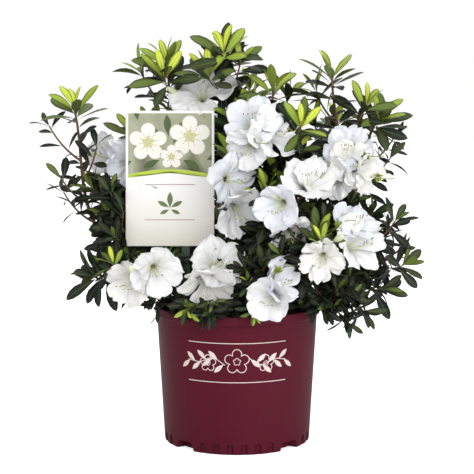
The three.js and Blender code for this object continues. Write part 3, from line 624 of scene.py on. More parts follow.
def curve_way(curve, share):
    """The one unit tangent of a cubic at a share of its parameter."""
    return curve_ways(curve, share)[0]


def facing_frame(way):
    """Two unit vectors across a way: level to its side, and upwards across both."""
    side = unit(np.cross(way, UP))
    return side, np.cross(side, way)


def tubes(curves, radii, rows, turns, relief=None):
    """Round limbs along many cubics: rings whose radius goes evenly from the first to the second, closed at
    both ends by a ring of no radius. relief gives a share by which each place stands out from its ring."""
    shares = np.concatenate([[0], np.linspace(0, 1, rows - 2), [1]])
    swell = np.ones(rows)
    swell[[0, -1]] = 0
    centres, ways = curve_points(curves, shares), curve_ways(curves, shares)
    across = unit(np.cross(LIMB_SIDE, ways))
    beside = np.cross(ways, across)
    size = (radii[:, :1] + (radii[:, 1:] - radii[:, :1]) * shares) * swell
    angles = np.linspace(0, 2 * math.pi, turns, endpoint=False)
    size = size[..., None] * (1 if relief is None else 1 + relief)
    round_it = np.cos(angles)[:, None] * across[:, :, None] + np.sin(angles)[:, None] * beside[:, :, None]
    return centres[:, :, None] + size[..., None] * round_it


def add_tubes(name, curves, radii, rows, turns, material, relief=None):
    """Tubes along the curves as one piece. radii is one pair for all of them or a pair for each."""
    radii = np.broadcast_to(np.asarray(radii, float), (len(curves), 2))
    faces = grid_faces(rows, turns, wrapped=True, copies=len(curves))
    return add_piece(name, tubes(curves, radii, rows, turns, relief), faces, material, closed=True)


def bark_relief(count, rows, turns, furrows):
    """Furrows that wander as they run along the limb, a finer set that crosses them and a slow swelling."""
    limb = np.arange(count)[:, None, None]
    row = np.linspace(0, 1, rows)[None, :, None]
    angle = np.linspace(0, 2 * math.pi, turns, endpoint=False)[None, None]
    wander = 1.6 * np.sin(9 * row + 2.1 * limb)
    deep = 0.09 * np.sin(furrows * angle + wander)
    crossing = 0.05 * np.sin(2 * furrows * angle - 31 * row + limb)
    return deep + crossing + 0.07 * np.sin(17 * row + 1.7 * limb)


def trunk_shell():
    """A flaring column: its radius falls with the power of what is left above, swells at the foot in five
    lobes where the main roots leave, and carries the bark's furrows. Its axis leans over evenly."""
    share = np.concatenate([[TRUNK_SUNK], np.linspace(TRUNK_SUNK, 1, TRUNK_ROWS - 2), [1]])[:, None]
    angle = np.linspace(0, 2 * math.pi, TRUNK_TURNS, endpoint=False)[None]
    left_above = np.clip(1 - share, 0, None)
    radius = TRUNK_RADII[1] + (TRUNK_RADII[0] - TRUNK_RADII[1]) * left_above**TRUNK_FLARE
    lobes = ROOT_SWELL * np.clip(np.cos(ROOT_LOBES * angle + 0.6), -0.4, 1) * left_above**3
    radius = radius * (1 + lobes + bark_relief(1, TRUNK_ROWS, TRUNK_TURNS, TRUNK_FURROWS)[0] * 0.8)
    radius[[0, -1]] = 0
    lean = TRUNK_LEAN * np.clip(share, 0, 1)
    height = SOIL_TOP + CLEARANCE + share * (TRUNK_HEIGHT - CLEARANCE)
    return np.stack([lean + radius * np.cos(angle), radius * np.sin(angle), height + 0 * angle], -1)


trunk_base = np.array([0, 0, SOIL_TOP + CLEARANCE])
trunk_top = np.array([TRUNK_LEAN, 0, SOIL_TOP + TRUNK_HEIGHT])
stem_curves = {}
for name, (bearing, height, rise, length) in STEMS.items():
    start = trunk_base + (trunk_top - trunk_base) * height / TRUNK_HEIGHT
    way = heading(bearing, rise)
    upturn = unit(way + (UP - way) * STEM_UPTURN)
    stem_curves[name] = sweep(start, way, start + way * length + UP * STEM_LIFT, upturn)

masses = {}
for index, (name, (stem, leaves_at, tip, length, lean, first)) in enumerate(MASSES.items()):
    way = heading(tip[0], 90 - lean)
    tip = polar(*tip)
    fork = tip - way * length
    stem_point, stem_way = curve_point(stem_curves[stem], leaves_at), curve_way(stem_curves[stem], leaves_at)
    out = unit(fork - stem_point)
    goes_on = leaves_at == 1
    start = stem_point + stem_way * CLEARANCE if goes_on else stem_point
    start_way = stem_way if goes_on else unit(stem_way + (out - stem_way) * BOUGH_TURN)
    bough_way = unit(out + (way - out) * BOUGH_TURN)
    leader = sweep(fork + bough_way * CLEARANCE, bough_way, tip, way)
    masses[name] = {
        "index": index,
        "first": first,
        "bough": sweep(start, start_way, fork, bough_way),
        "shoots": [(leader, length)],
        "twigs": [],
        "flowers": [],
    }

bark = grained_material("bark", BARK_BROWN, 0.86, (110, 900, 0.3), (BARK_BROWN, BARK_GREY), 0.6)
trunk = trunk_shell()
trunk_faces = grid_faces(TRUNK_ROWS, TRUNK_TURNS, wrapped=True)
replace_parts(add_piece("trunk_bark", trunk, trunk_faces, bark, closed=True), "trunk")
limbs = [*stem_curves.values(), *[mass["bough"] for mass in masses.values()]]
limb_radii = [STEM_RADII] * len(stem_curves) + [BOUGH_RADII] * len(masses)
furrowed = bark_relief(len(limbs), LIMB_ROWS, LIMB_TURNS, LIMB_FURROWS)
wood = add_tubes("stems_and_boughs", limbs, limb_radii, LIMB_ROWS, LIMB_TURNS, bark, furrowed)
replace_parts(wood, *[f"stem_{name}" for name in STEMS], *[f"bough_{name}" for name in MASSES])


# Shoots: young red-brown wood, no thicker than a pencil. Each mass has a leading shoot, a twig to each truss
# of bloom, side shoots set round the leader by the golden angle, and finer twigs on those and on its bough.
LEADER_RADII = (3.0, 1.5)
SIDE_RADII = (1.8, 1.0)
FINE_RADII = (1.15, 0.7)
TRUSS_TWIG_RADII = (1.9, 1.3)
STALK_RADII = (0.8, 0.95)
SHOOT_ROWS = 12
SHOOT_TURNS = 7
FLOWER_DEPTH = 33
FLOWER_APART = 34
FLOWER_SPLAY = 30
KNOT_BEHIND = 0.8
SINGLE_TWIG_BEHIND = 0.6
BASE_BEHIND = 0.7
TRUSS_SHARES = (0.02, 0.15, 0.3, 0.45, 0.6)
HOLD_LEADER = 12
HOLD_TRUSS_TWIG = 8
HOLD_STALK = 4
HOLD_FLOWER = 38
HOLD_SIDE = 10
SPACE_MARGIN = 120
POST_SPACING = 16
CROWN_REACH = 268
FLOWER_ROOM = 30
GOLDEN_ANGLE = 137.5
SIDE_COUNT = 4
SIDE_SHARES = (0.06, 0.7)
SIDE_LENGTHS = (50, 74)
SIDE_ANGLE = 52
SIDE_SWAY = 24
SIDE_APART = 40
SIDE_TURNS = (0, 50, -50, 100, -100, 150)
FINE_ON_LEADER = (11, 0.04, 0.56)
FINE_ON_SIDE = (5, 0.1, 0.6)
FINE_ON_BOUGH = (6, 0.35, 0.6)
FINE_FIRST = 60
FINE_TURNS = (0, 45, -45, 90, -90, 135, -135, 180)
FINE_UPTURN = 0.4
FINE_CEILING = 420
FINE_CEILING_FALL = 0.5
FINE_REACH = 190
FINE_LENGTHS = (26, 44)
FINE_ANGLE = 46

# Twigs of the outer crown, which end where the photograph shows a tuft of leaves: the mass, the tip's place,
# the bearing and rise of its end, the number of its leaves, and how bright and how large they are.
OUTER_TWIGS = [
    ("crown_top", (-39, -20, 514), (250, 86), 11, 1.0, 1.0),
    ("upper_mid", (86, -66, 444), (285, 60), 9, 1.1, 0.95),
    ("left_low", (-197, -62, 240), (190, 34), 17, 0.1, 1.12),
    ("left_low", (-165, -104, 264), (215, 66), 6, 1.1, 0.68),
    ("right_low", (228, -62, 256), (342, 30), 7, 0.6, 0.9),
    ("front_right", (110, -148, 300), (272, 80), 8, 1.0, 0.7),
    ("right_upper", (196, -20, 454), (320, 52), 12, 0.8, 1.0),
    ("front_low_mid", (16, -124, 241), (255, 60), 4, 1.0, 0.5),
    ("front_left", (-66, -130, 206), (262, -28), 7, 0.8, 0.58),
    ("front_low_left", (-31, -136, 217), (275, -30), 6, 0.6, 0.52),
    ("front_low_mid", (23, -138, 202), (280, -36), 6, 0.85, 0.52),
    ("top_left", (-100, -14, 510), (240, 68), 11, 0.9, 1.0),
    ("crown_top", (-18, -14, 543), (262, 86), 10, 1.0, 1.08),
    ("right_low", (201, -40, 219), (330, 20), 11, 0.1, 1.0),
    ("right_skirt", (175, -60, 190), (320, -20), 9, 0.1, 0.9),
    ("right_skirt", (152, -70, 176), (310, -55), 6, 0.0, 0.75),
    ("front_mid", (35, -96, 356), (265, 66), 6, 0.8, 0.7),
]
TWIG_SHARES = np.linspace(0.1, 0.9, 17)
TWIG_RUN = 32
FINE_APART = 13
YOUNG_BARK = (0.075, 0.028, 0.014)
YOUNG_BARK_TAN = (0.18, 0.085, 0.04)
GREEN_STALK = (0.16, 0.22, 0.04)
GREEN_STALK_PALE = (0.27, 0.33, 0.09)

# Trusses of bloom: the mass that carries each, its middle by bearing, reach and height, the number of
# flowers in it, and the bearing and rise that it faces.
TRUSSES = [
    ("top_left", (170, 59, 476), 1, (262, 14)),
    ("upper_mid", (291, 78, 434), 3, (272, 18)),
    ("upper_mid", (250, 16, 377), 1, (282, 0)),
    ("top_right", (334, 171, 394), 3, (285, 12)),
    ("front_mid", (307, 142, 367), 1, (250, 24)),
    ("centre_left", (273, 84, 331), 1, (285, -6)),
    ("front_mid", (289, 158, 330), 1, (272, 8)),
    ("front_right", (306, 180, 285), 1, (268, 5)),
    ("front_right", (323, 192, 293), 1, (298, 12)),
    ("front_left", (213, 184, 239), 1, (244, 4)),
    ("front_left", (227, 142, 252), 1, (266, 6)),
    ("front_low_left", (254, 120, 250), 1, (276, -8)),
    ("front_low_mid", (291, 148, 224), 2, (280, 0)),
    ("left_mid", (178, 173, 397), 2, (245, 12)),
    ("back_top", (86, 146, 420), 2, (90, 18)),
    ("back_left_mid", (138, 186, 366), 2, (135, 15)),
    ("back_right_mid", (46, 190, 368), 3, (50, 15)),
    ("back_left_low", (158, 190, 246), 1, (160, 10)),
    ("back_low_left", (112, 186, 240), 2, (110, 5)),
    ("back_low_right", (74, 188, 236), 1, (75, 5)),
    ("back_right_low", (28, 204, 256), 1, (30, 8)),
]
FLOWER_SIZES = (0.94, 0.1)
TWIG_PULL = 0.3
STALK_PULL = 0.2
OUTER_PULL = 0.35
FIRST_FACTOR = 7919
FIRST_OFFSET = 17
STATE_FACTOR = 48271
STATE_LIMIT = 2147483647


def seeded(seed):
    """The part's own chance: a state that is multiplied and kept under a limit, as a share of the limit."""
    state = seed * FIRST_FACTOR + FIRST_OFFSET
    while True:
        state = state * STATE_FACTOR % STATE_LIMIT
        yield state / STATE_LIMIT


for number, (name, middle, count, faces) in enumerate(TRUSSES):
    mass, chance, several = masses[name], seeded(500 + number), count > 1
    middle, way = polar(*middle), heading(*faces)
    side, over = facing_frame(way)
    knot = middle - way * FLOWER_DEPTH * (KNOT_BEHIND if several else SINGLE_TWIG_BEHIND)
    spots = curve_points(mass["shoots"][0][0], TRUSS_SHARES)
    near = spots[np.argmin(np.linalg.norm(spots - knot, axis=1))]
    twig = sweep(near, unit(knot - near), knot, way, TWIG_PULL)
    mass["twigs"].append((twig, TRUSS_TWIG_RADII, HOLD_TRUSS_TWIG))
    start = next(chance) * 360
    for i in range(count):
        angle = math.radians(start * 0.1 + 180 * i if count == 2 else start + 360 / count * i)
        aside = side * math.cos(angle) + over * math.sin(angle)
        faces = unit(way + aside * (math.tan(math.radians(FLOWER_SPLAY)) if several else 0))
        centre = middle + aside * (FLOWER_APART if several else 0)
        base = centre - faces * FLOWER_DEPTH * BASE_BEHIND
        if several:
            mass["twigs"].append((sweep(knot, faces, base, faces, STALK_PULL), STALK_RADII, HOLD_STALK))
        size = FLOWER_SIZES[0] + FLOWER_SIZES[1] * next(chance)
        turn = next(chance) * 2
        flower = {"base": base, "way": faces, "centre": centre, "size": size, "turn": turn, "knot": knot}
        mass["flowers"].append(flower)

posts, post_holds, post_owners = [], [], []


def claim(name, points, hold):
    """The mass holds its neighbours so far off from these points."""
    posts.extend(points)
    post_holds.extend([hold] * len(points))
    post_owners.extend([masses[name]["index"]] * len(points))


def claim_curve(name, curve, hold):
    """The mass claims points along a curve, at even shares of its parameter, as many as its length needs."""
    length = np.linalg.norm(np.diff(curve_points(curve, np.linspace(0, 1, 201)), axis=0), axis=1).sum()
    steps = math.ceil(length / POST_SPACING)
    claim(name, curve_points(curve, np.arange(steps + 1) / steps), hold)


def keeps_to(name, points):
    """Which points lie in the mass's own space: their squared distance to its own posts, less the square of
    what the post holds, is smaller than to any other's by a margin, and they lie within the crown's
    reach."""
    places, holds = np.array(posts), np.array(post_holds, float)
    own = np.array(post_owners) == masses[name]["index"]
    flat = points.reshape(-1, 3)
    squares = (flat**2).sum(1)[:, None] - 2 * flat @ places.T + (places**2).sum(1) - holds**2
    inside = squares[:, own].min(1) + SPACE_MARGIN < squares[:, ~own].min(1)
    return (inside & (np.hypot(flat[:, 0], flat[:, 1]) <= CROWN_REACH)).reshape(points.shape[:-1])


for name, mass in masses.items():
    claim_curve(name, mass["shoots"][0][0], HOLD_LEADER)
    for curve, _, hold in mass["twigs"]:
        claim_curve(name, curve, hold)
    claim(name, [flower["centre"] for flower in mass["flowers"]], HOLD_FLOWER)
flower_centres = np.array([flower["centre"] for mass in masses.values() for flower in mass["flowers"]])


def side_shoot(curve, share, bearing, length, angle, turn_up=0.5):
    """A shoot that leaves the curve at an angle, towards a bearing flattened onto the plane across the
    curve, and turns towards the upright by a share. It ends where those two ways together point."""
    start, along = curve_point(curve, share), curve_way(curve, share)
    level = heading(bearing, 0)
    out = unit(level - along * (level @ along))
    way = along * math.cos(math.radians(angle)) + out * math.sin(math.radians(angle))
    end_way = unit(way + (UP - way) * turn_up)
    return sweep(start, way, start + unit(way + end_way) * length, end_way)


def has_room(name, curve, others, apart):
    """Whether the shoot's tip is so far from the others' tips, and its outer half keeps to the mass's space
    and away from the flowers."""
    points = curve_points(curve, (0.4, 0.7, 1))
    if len(others) and np.linalg.norm(np.array(others) - points[2], axis=1).min() < apart:
        return False
    from_flowers = np.linalg.norm(points[:, None] - flower_centres, axis=2).min()
    return from_flowers >= FLOWER_ROOM and keeps_to(name, points).all()


for name, mass in masses.items():
    chance = seeded(100 + mass["index"])
    leader = mass["shoots"][0][0]
    for i in range(SIDE_COUNT):
        share = SIDE_SHARES[0] + (SIDE_SHARES[1] - SIDE_SHARES[0]) * (i + 0.5) / SIDE_COUNT
        bearing = mass["first"] + GOLDEN_ANGLE * i + SIDE_SWAY * (next(chance) - 0.5)
        length = SIDE_LENGTHS[0] + (SIDE_LENGTHS[1] - SIDE_LENGTHS[0]) * next(chance)
        tips = [curve[3] for curve, _ in mass["shoots"]]
        trials = (side_shoot(leader, share, bearing + turn, length, SIDE_ANGLE) for turn in SIDE_TURNS)
        shoot = next((trial for trial in trials if has_room(name, trial, tips, SIDE_APART)), None)
        if shoot is not None:
            mass["shoots"].append((shoot, length))
            claim_curve(name, shoot, HOLD_SIDE)

# Label card: where it stands. Shoots and leaves keep clear of it and of the room before it, of its stake,
# and of the pot but for its mouth.
CARD_WIDTH = 121
CARD_HEIGHT = 185
CARD_THICKNESS = 1
CARD_X = -91.5
CARD_BOTTOM = 280
STAKE_X = -70
STAKE_Y = -66
LABEL_LEAN = 7.5
LABEL_ROOM = (-4, 130)
STAKE_ROOM = (7, 3, 70)
RIM_ROOM = 5
SOIL_ROOM = 2
CLEAR_SHARES = (0.2, 0.4, 0.6, 0.8, 1)
lean = math.radians(LABEL_LEAN)
label_foot = np.array([CARD_X, STAKE_Y + (CARD_BOTTOM - SOIL_TOP) * math.tan(lean), CARD_BOTTOM])
card_up = np.array([0, math.sin(lean), math.cos(lean)])
card_front = np.array([0, -card_up[2], card_up[1]])


def stands_clear(points):
    """Which points lie clear of the card with the room before it, the stake, the pot and the soil."""
    from_foot = points - label_foot
    height, before = from_foot @ card_up, from_foot @ card_front
    at_card = (np.abs(from_foot[..., 0]) < CARD_WIDTH / 2 + 1) & (height > -1) & (height < CARD_HEIGHT + 1)
    at_card &= (before > LABEL_ROOM[0]) & (before < LABEL_ROOM[1])
    wide, thick, high = STAKE_ROOM
    at_stake = (np.abs(points[..., 0] - STAKE_X) < wide) & (np.abs(before + thick) < thick) & (height < high)
    reach, z = np.hypot(points[..., 0], points[..., 1]), points[..., 2]
    at_pot = (reach < RIM_RADIUS + 1) & (z < POT_HEIGHT + 1)
    in_mouth = (reach < RIM_RADIUS - RIM_ROOM) & (z > SOIL_TOP + SOIL_ROOM)
    return ~(at_card | at_stake | (at_pot & ~in_mouth))


fine_chance = np.random.default_rng(21)
for name, mass in masses.items():
    clear = [stands_clear(curve_points(curve, CLEAR_SHARES)).all() for curve, _ in mass["shoots"]]
    mass["shoots"] = [shoot for shoot, kept in zip(mass["shoots"], clear) if kept]
    mass["outer"] = []
    for owner, tip, end, count, bright, stature in OUTER_TWIGS:
        if owner == name:
            tip, spots = np.array(tip, float), curve_points(mass["shoots"][0][0], TWIG_SHARES)
            start = spots[np.argmin(np.linalg.norm(spots - tip + heading(*end) * TWIG_RUN, axis=1))]
            twig = sweep(start, unit(tip - start), tip, heading(*end), OUTER_PULL)
            mass["outer"].append((twig, np.linalg.norm(tip - start), count, bright, stature))
    mass["fine"] = []
    tips = [curve[3] for curve, *_ in mass["shoots"] + mass["outer"]]
    leader, *side_shoots = [curve for curve, _ in mass["shoots"]]
    parents = [(leader, *FINE_ON_LEADER), *[(curve, *FINE_ON_SIDE) for curve in side_shoots]]
    parents.append((mass["bough"], *FINE_ON_BOUGH))
    for number, (parent, count, lowest, run) in enumerate(parents):
        for i in range(count):
            share = lowest + run * (i + fine_chance.uniform(0.1, 0.9)) / count
            x, y, z = curve_point(parent, share)
            if z > FINE_CEILING - FINE_CEILING_FALL * np.hypot(x, y):
                continue
            bearing = mass["first"] + FINE_FIRST + GOLDEN_ANGLE * (i + 2 * number)
            length = fine_chance.uniform(*FINE_LENGTHS)
            for turn in FINE_TURNS:
                shoot = side_shoot(parent, share, bearing + turn, length, FINE_ANGLE, FINE_UPTURN)
                near = np.hypot(shoot[3, 0], shoot[3, 1]) < FINE_REACH
                if near and has_room(name, shoot, tips, FINE_APART) and stands_clear(shoot).all():
                    mass["fine"].append((shoot, length))
                    tips.append(shoot[3])
                    break

young_wood = grained_material(
    "young_wood", YOUNG_BARK, 0.55, (90, 1200, 0.4), (YOUNG_BARK, YOUNG_BARK_TAN), 0.15
)
shoots = []
for mass in masses.values():
    for number, (curve, _) in enumerate(mass["shoots"]):
        shoots.append((curve, LEADER_RADII if number == 0 else SIDE_RADII))
    shoots += [(curve, FINE_RADII) for curve, *_ in mass["fine"] + mass["outer"]]
    shoots += [(curve, radii) for curve, radii, hold in mass["twigs"] if hold == HOLD_TRUSS_TWIG]
curves, radii = zip(*shoots)
add_tubes("young_shoots", curves, radii, SHOOT_ROWS, SHOOT_TURNS, young_wood)


# Leaves: leathery, spoon-shaped and glossy, folded along the midrib and bent back a little. Yellow-green
# new ones stand at each tip in a rosette, and older ones lie open below them, darker by their age and by
# painted shade, most of all low and deep in the crown.
LEAF_LENGTH = 49
LEAF_WIDTH = 14.2
LEAF_REACH = 282
LEAF_ROWS = np.array([0, 0.07, 0.22, 0.42, 0.62, 0.8, 0.93, 1])
LEAF_COLUMNS = np.array([-1, -0.45, 0, 0.45, 1])
ROSETTE_LEAVES = 12
SIDE_ROSETTES = {"left_tall": 3, "right_upper": 4}
SMALLEST_LEAVES = 0.72
FULL_SIZE = (190, 400)
SIDE_WHORL = ROSETTE_LEAVES - 3
FINE_WHORL = 7
ROSETTE_DEPTH = 22
ROSETTE_ANGLES = (14, 68)
ROSETTE_SIZES = (0.72, 0.07, 1.02)
ROSETTE_AGE_AND_SHADE = 4.4
LEAF_STEP = 8
OLDER_ANGLES = (50, 24)
OLDER_SIZE = 0.76
OLDER_AGES_AND_SHADE = (4.0, 0.4)
OLDER_MISSING = (0.06, 0.012)
ANGLE_SWAY = 5
SIZE_SWAY = (-0.09, 0.12)
AGE_SWAY = (-0.3, 0.6)
# Painted shade: the tone steps by which a leaf darkens on a shoot that is given no light.
PAINTED_SHADE_STEPS = 3
WEAK_SIZE = 0.84
LEAF_CURLS = (0.05, 0.75)
BARE_LENGTH = 9
LEAF_ROLL = 45
LEAF_TO_FRONT = 0.65
FRONT_DEPTH = 60
LEAF_TURNS = (0, 30, -30, 60, -60, 100, -100)
LEAF_TEST_SPOTS = ((0.35, 0), (0.6, 0.4), (0.6, -0.4), (0.85, 0), (1, 0))
FLOWER_NOD = 0.34
FLOWER_TO_FRONT = 0.3
FLOWER_UP = 0.1
BLOOM_ROOM = (6, 46)
BLOOM_CONE = (6, 22, 1.05)
FACES_FRONT = -0.64
SIGHT_START = 20
SIGHT_LENGTH = 140
SIGHT_WIDTH = 20
SIGHT_RISE = 0.1
LEAST_LIGHT = 0.2
FULL_LIGHT = (300, 460)
STRAY_LIGHTS = (0, 0, 0, 0, 0.7)
FINE_LIGHTS = (0.7, 0.25, 0.0, 0.0, -0.3)
LEAST_FINE_LIGHT = 0.35
FULL_FINE_LIGHT = (240, 400)
MIDRIB_WIDTH = 0.75
MIDRIB_PROUD = 0.12

# Where the photograph shows a bloom off the rule's place, and which way it faces there: by the bloom's
# number in the order of the masses, a shift in millimetres and a turn of its unit way.
BLOOM_SHIFTS = {
    0: (17, -22, -6), 1: (0, -10, 0), 2: (10, 0, 6), 3: (-18, -8, 8), 4: (7, -13, 1), 5: (2, 0, -10),
    6: (-18, -6, 4), 7: (8, -4, 13), 8: (-8, -72, -4), 9: (-14, -12, 2), 10: (3, 0, 6), 11: (6, 0, -6),
    12: (8, 2, -3), 13: (2, 0, -8), 15: (12, 10, 22), 16: (-5, -12, 12), 17: (25, -2, -1),
    18: (-34, -8, 14), 19: (-6, -4, -1),
}
BLOOM_TURNS = {
    2: (-0.1, 0, -0.1), 3: (-0.05, 0, -0.1), 4: (0.1, 0, 0.25), 6: (0.4, 0, 0.1), 8: (0.3, 0, 0.2),
    10: (-0.4, 0, -0.2), 12: (-0.35, 0, -0.3), 13: (0.3, 0, 0.15), 14: (0.3, 0, 0.35), 15: (-0.4, 0, -0.25),
    16: (0.45, 0, -0.2), 17: (-0.3, 0, -0.4), 18: (0.25, 0, 0.3), 19: (0.15, 0, -0.75),
}

# The leaves' colours, from the newest to those in deep shade: deep stands partly for older leaves and partly
# for painted shade, and dark and shaded are painted shade. Undersides are mixed with a paler one.
LEAF_COLOURS = {
    "new": (0.46, 0.54, 0.055),
    "fresh": (0.245, 0.325, 0.036),
    "green": (0.085, 0.12, 0.021),
    "deep": (0.031, 0.044, 0.014),
    "dark": (0.0125, 0.018, 0.0085),
    "shaded": (0.0075, 0.01, 0.0065),
}
PALE_UNDERSIDE = (0.072, 0.088, 0.032)


def risen(height, least, heights):
    """A share that rises from the least to 1 between two heights, and is level at both."""
    return least + (1 - least) * eased((height - heights[0]) / (heights[1] - heights[0]))


def swung(vectors, axes, degrees):
    """Vectors turned round their axes by degrees, by the rotation formula of cosine, sine and dot."""
    angle = np.radians(degrees)[..., None] if np.ndim(degrees) else math.radians(degrees)
    dots = (vectors * axes).sum(-1, keepdims=True)
    turned = vectors * np.cos(angle) + np.cross(axes, vectors) * np.sin(angle)
    return turned + axes * dots * (1 - np.cos(angle))


def leaves_on(curve, length, chance, shoot_light, whorl, stature=None):
    """Leaves up a shoot, the newest first, each turned by the golden angle from the one above. Those of the
    rosette open from nearly upright, and the others stand well off the shoot and miss here and there, more
    so further down. A leaf's tone darkens the further down it is, partly by its age and partly as painted
    shade, and darkens further as painted shade the less light its shoot is given, which also makes its
    leaves smaller. Leaves are smaller on low shoots if no stature is given, and those of the front turn
    their faces a little to the front."""
    depth = ROSETTE_DEPTH * whorl / ROSETTE_LEAVES
    many = whorl + max(0, int((length - BARE_LENGTH - depth) / LEAF_STEP))
    order = np.arange(many)
    rosette = order < whorl
    opened, rank = order / whorl, order - whorl
    down = np.where(rosette, 1 + depth * opened**1.2, depth + LEAF_STEP * (rank + 0.6))
    opening = ROSETTE_ANGLES[0] + ROSETTE_ANGLES[1] * opened**0.8
    angle = np.where(rosette, opening, OLDER_ANGLES[0] + OLDER_ANGLES[1] * chance.random(many))
    angle = angle + chance.normal(0, ANGLE_SWAY, many)
    growing = np.minimum(ROSETTE_SIZES[0] + ROSETTE_SIZES[1] * order, ROSETTE_SIZES[2])
    scale = np.where(rosette, growing, OLDER_SIZE) + chance.uniform(*SIZE_SWAY, many)
    share = 1 - down / length
    if stature is None:
        stature = risen(curve[3, 2], SMALLEST_LEAVES, FULL_SIZE)
    along = curve_ways(curve, share)
    out = unit(np.cross(LIMB_SIDE, along))
    out = swung(out, along, chance.uniform(0, 360) + GOLDEN_ANGLE * order)
    cosine, sine = np.cos(np.radians(angle))[:, None], np.sin(np.radians(angle))[:, None]
    age_and_shade = np.where(rosette, ROSETTE_AGE_AND_SHADE * order / whorl, OLDER_AGES_AND_SHADE[0] + OLDER_AGES_AND_SHADE[1] * rank)
    age_and_shade = age_and_shade + (1 - shoot_light) * PAINTED_SHADE_STEPS + chance.uniform(*AGE_SWAY, many)
    kept = rosette | (chance.random(many) > OLDER_MISSING[0] + OLDER_MISSING[1] * rank)
    way = along * cosine + out * sine
    face = swung(along * sine - out * cosine, way, chance.uniform(-LEAF_ROLL, LEAF_ROLL, many))
    if curve[3, 1] < FRONT_DEPTH:
        face = face + np.array([0, -LEAF_TO_FRONT, 0])
    face = unit(face - way * (face * way).sum(1, keepdims=True))
    made = {
        "root": curve_points(curve, share),
        "along": along,
        "way": way,
        "face": face,
        "size": scale * (WEAK_SIZE + (1 - WEAK_SIZE) * shoot_light) * stature,
        "curl": chance.uniform(*LEAF_CURLS, many),
        "tone": np.clip(age_and_shade, 0, len(LEAF_COLOURS) - 1).astype(int),
    }
    return {key: values[kept] for key, values in made.items()}


def in_front_of_flower(points):
    """Which points lie within a flower or just before it: in a cone about its axis, from its throat to a
    little way ahead. A flower that faces the front also keeps free a tube from its middle forwards, a
    little uphill."""
    from_base = points[..., None, :] - flower_bases
    ahead = (from_base * flower_ways).sum(-1)
    off = np.linalg.norm(from_base - ahead[..., None] * flower_ways, axis=-1)
    narrowest, deepest, widening = BLOOM_CONE
    in_cone = off < narrowest + np.minimum(ahead, deepest) * widening
    hidden = (ahead > BLOOM_ROOM[0]) & (ahead < BLOOM_ROOM[1]) & in_cone
    from_middle = from_base - SIGHT_START * flower_ways
    before = -from_middle[..., 1]
    aside = np.hypot(from_middle[..., 0], from_middle[..., 2] - before * SIGHT_RISE)
    in_sight = (before > 0) & (before < SIGHT_LENGTH) & (aside < SIGHT_WIDTH)
    return (hidden | (in_sight & (flower_ways[:, 1] < FACES_FRONT))).any(-1)


def fitted(leaves):
    """The leaves that find room. Each is swung round its shoot through a few trial angles, and the first is
    kept at which its test spots lie within the crown's reach, clear of card, pot and flowers."""
    done = np.zeros(len(leaves["root"]), bool)
    size = leaves["size"][:, None]
    for turn in LEAF_TURNS:
        way = swung(leaves["way"], leaves["along"], turn)
        face = swung(leaves["face"], leaves["along"], turn)
        across = unit(np.cross(way, face))
        spots = [
            leaves["root"] + way * u * LEAF_LENGTH * size + across * v * LEAF_WIDTH * size
            for u, v in LEAF_TEST_SPOTS
        ]
        spots = np.stack(spots, 1)
        within = np.hypot(spots[..., 0], spots[..., 1]) <= LEAF_REACH
        fits = (within & stands_clear(spots) & ~in_front_of_flower(spots)).all(1)
        fresh = fits & ~done
        leaves["way"][fresh], leaves["face"][fresh] = way[fresh], face[fresh]
        done |= fits
    return {key: values[done] for key, values in leaves.items()}


def leaf_sheets(leaves, rows, columns, proud=0.0, width=None):
    """Leaf blades: a midrib that bends back along a circle's arc, with half widths that follow a sine's bow
    from the stalk to the tip. The halves rise from the midrib and level out towards the edge."""
    size = leaves["size"][:, None, None]
    curl = leaves["curl"][:, None, None]
    s, t = rows[None, :, None], columns[None, None, :]
    blade = np.clip((s - 0.07) / 0.93, 0, 1)
    bow = np.sin(math.pi * blade**1.45) ** 0.7 * LEAF_WIDTH / 2 + 0.45 * (1 - 0.6 * s)
    half = (bow if width is None else width / 2 * (1 - 0.75 * s)) * size
    lift = (0.5 * np.abs(t) - 0.3 * t * t) * half if width is None else 0 * half * t
    length = LEAF_LENGTH * size
    along, back = length * np.sin(curl * s) / curl, length * (1 - np.cos(curl * s)) / curl
    way, face = leaves["way"][:, None, None], leaves["face"][:, None, None]
    across = unit(np.cross(way, face))
    normal = face * np.cos(curl * s)[..., None] + way * np.sin(curl * s)[..., None]
    places = leaves["root"][:, None, None] + way * along[..., None] - face * back[..., None]
    return places + across * (half * t)[..., None] + normal * (lift + proud)[..., None]


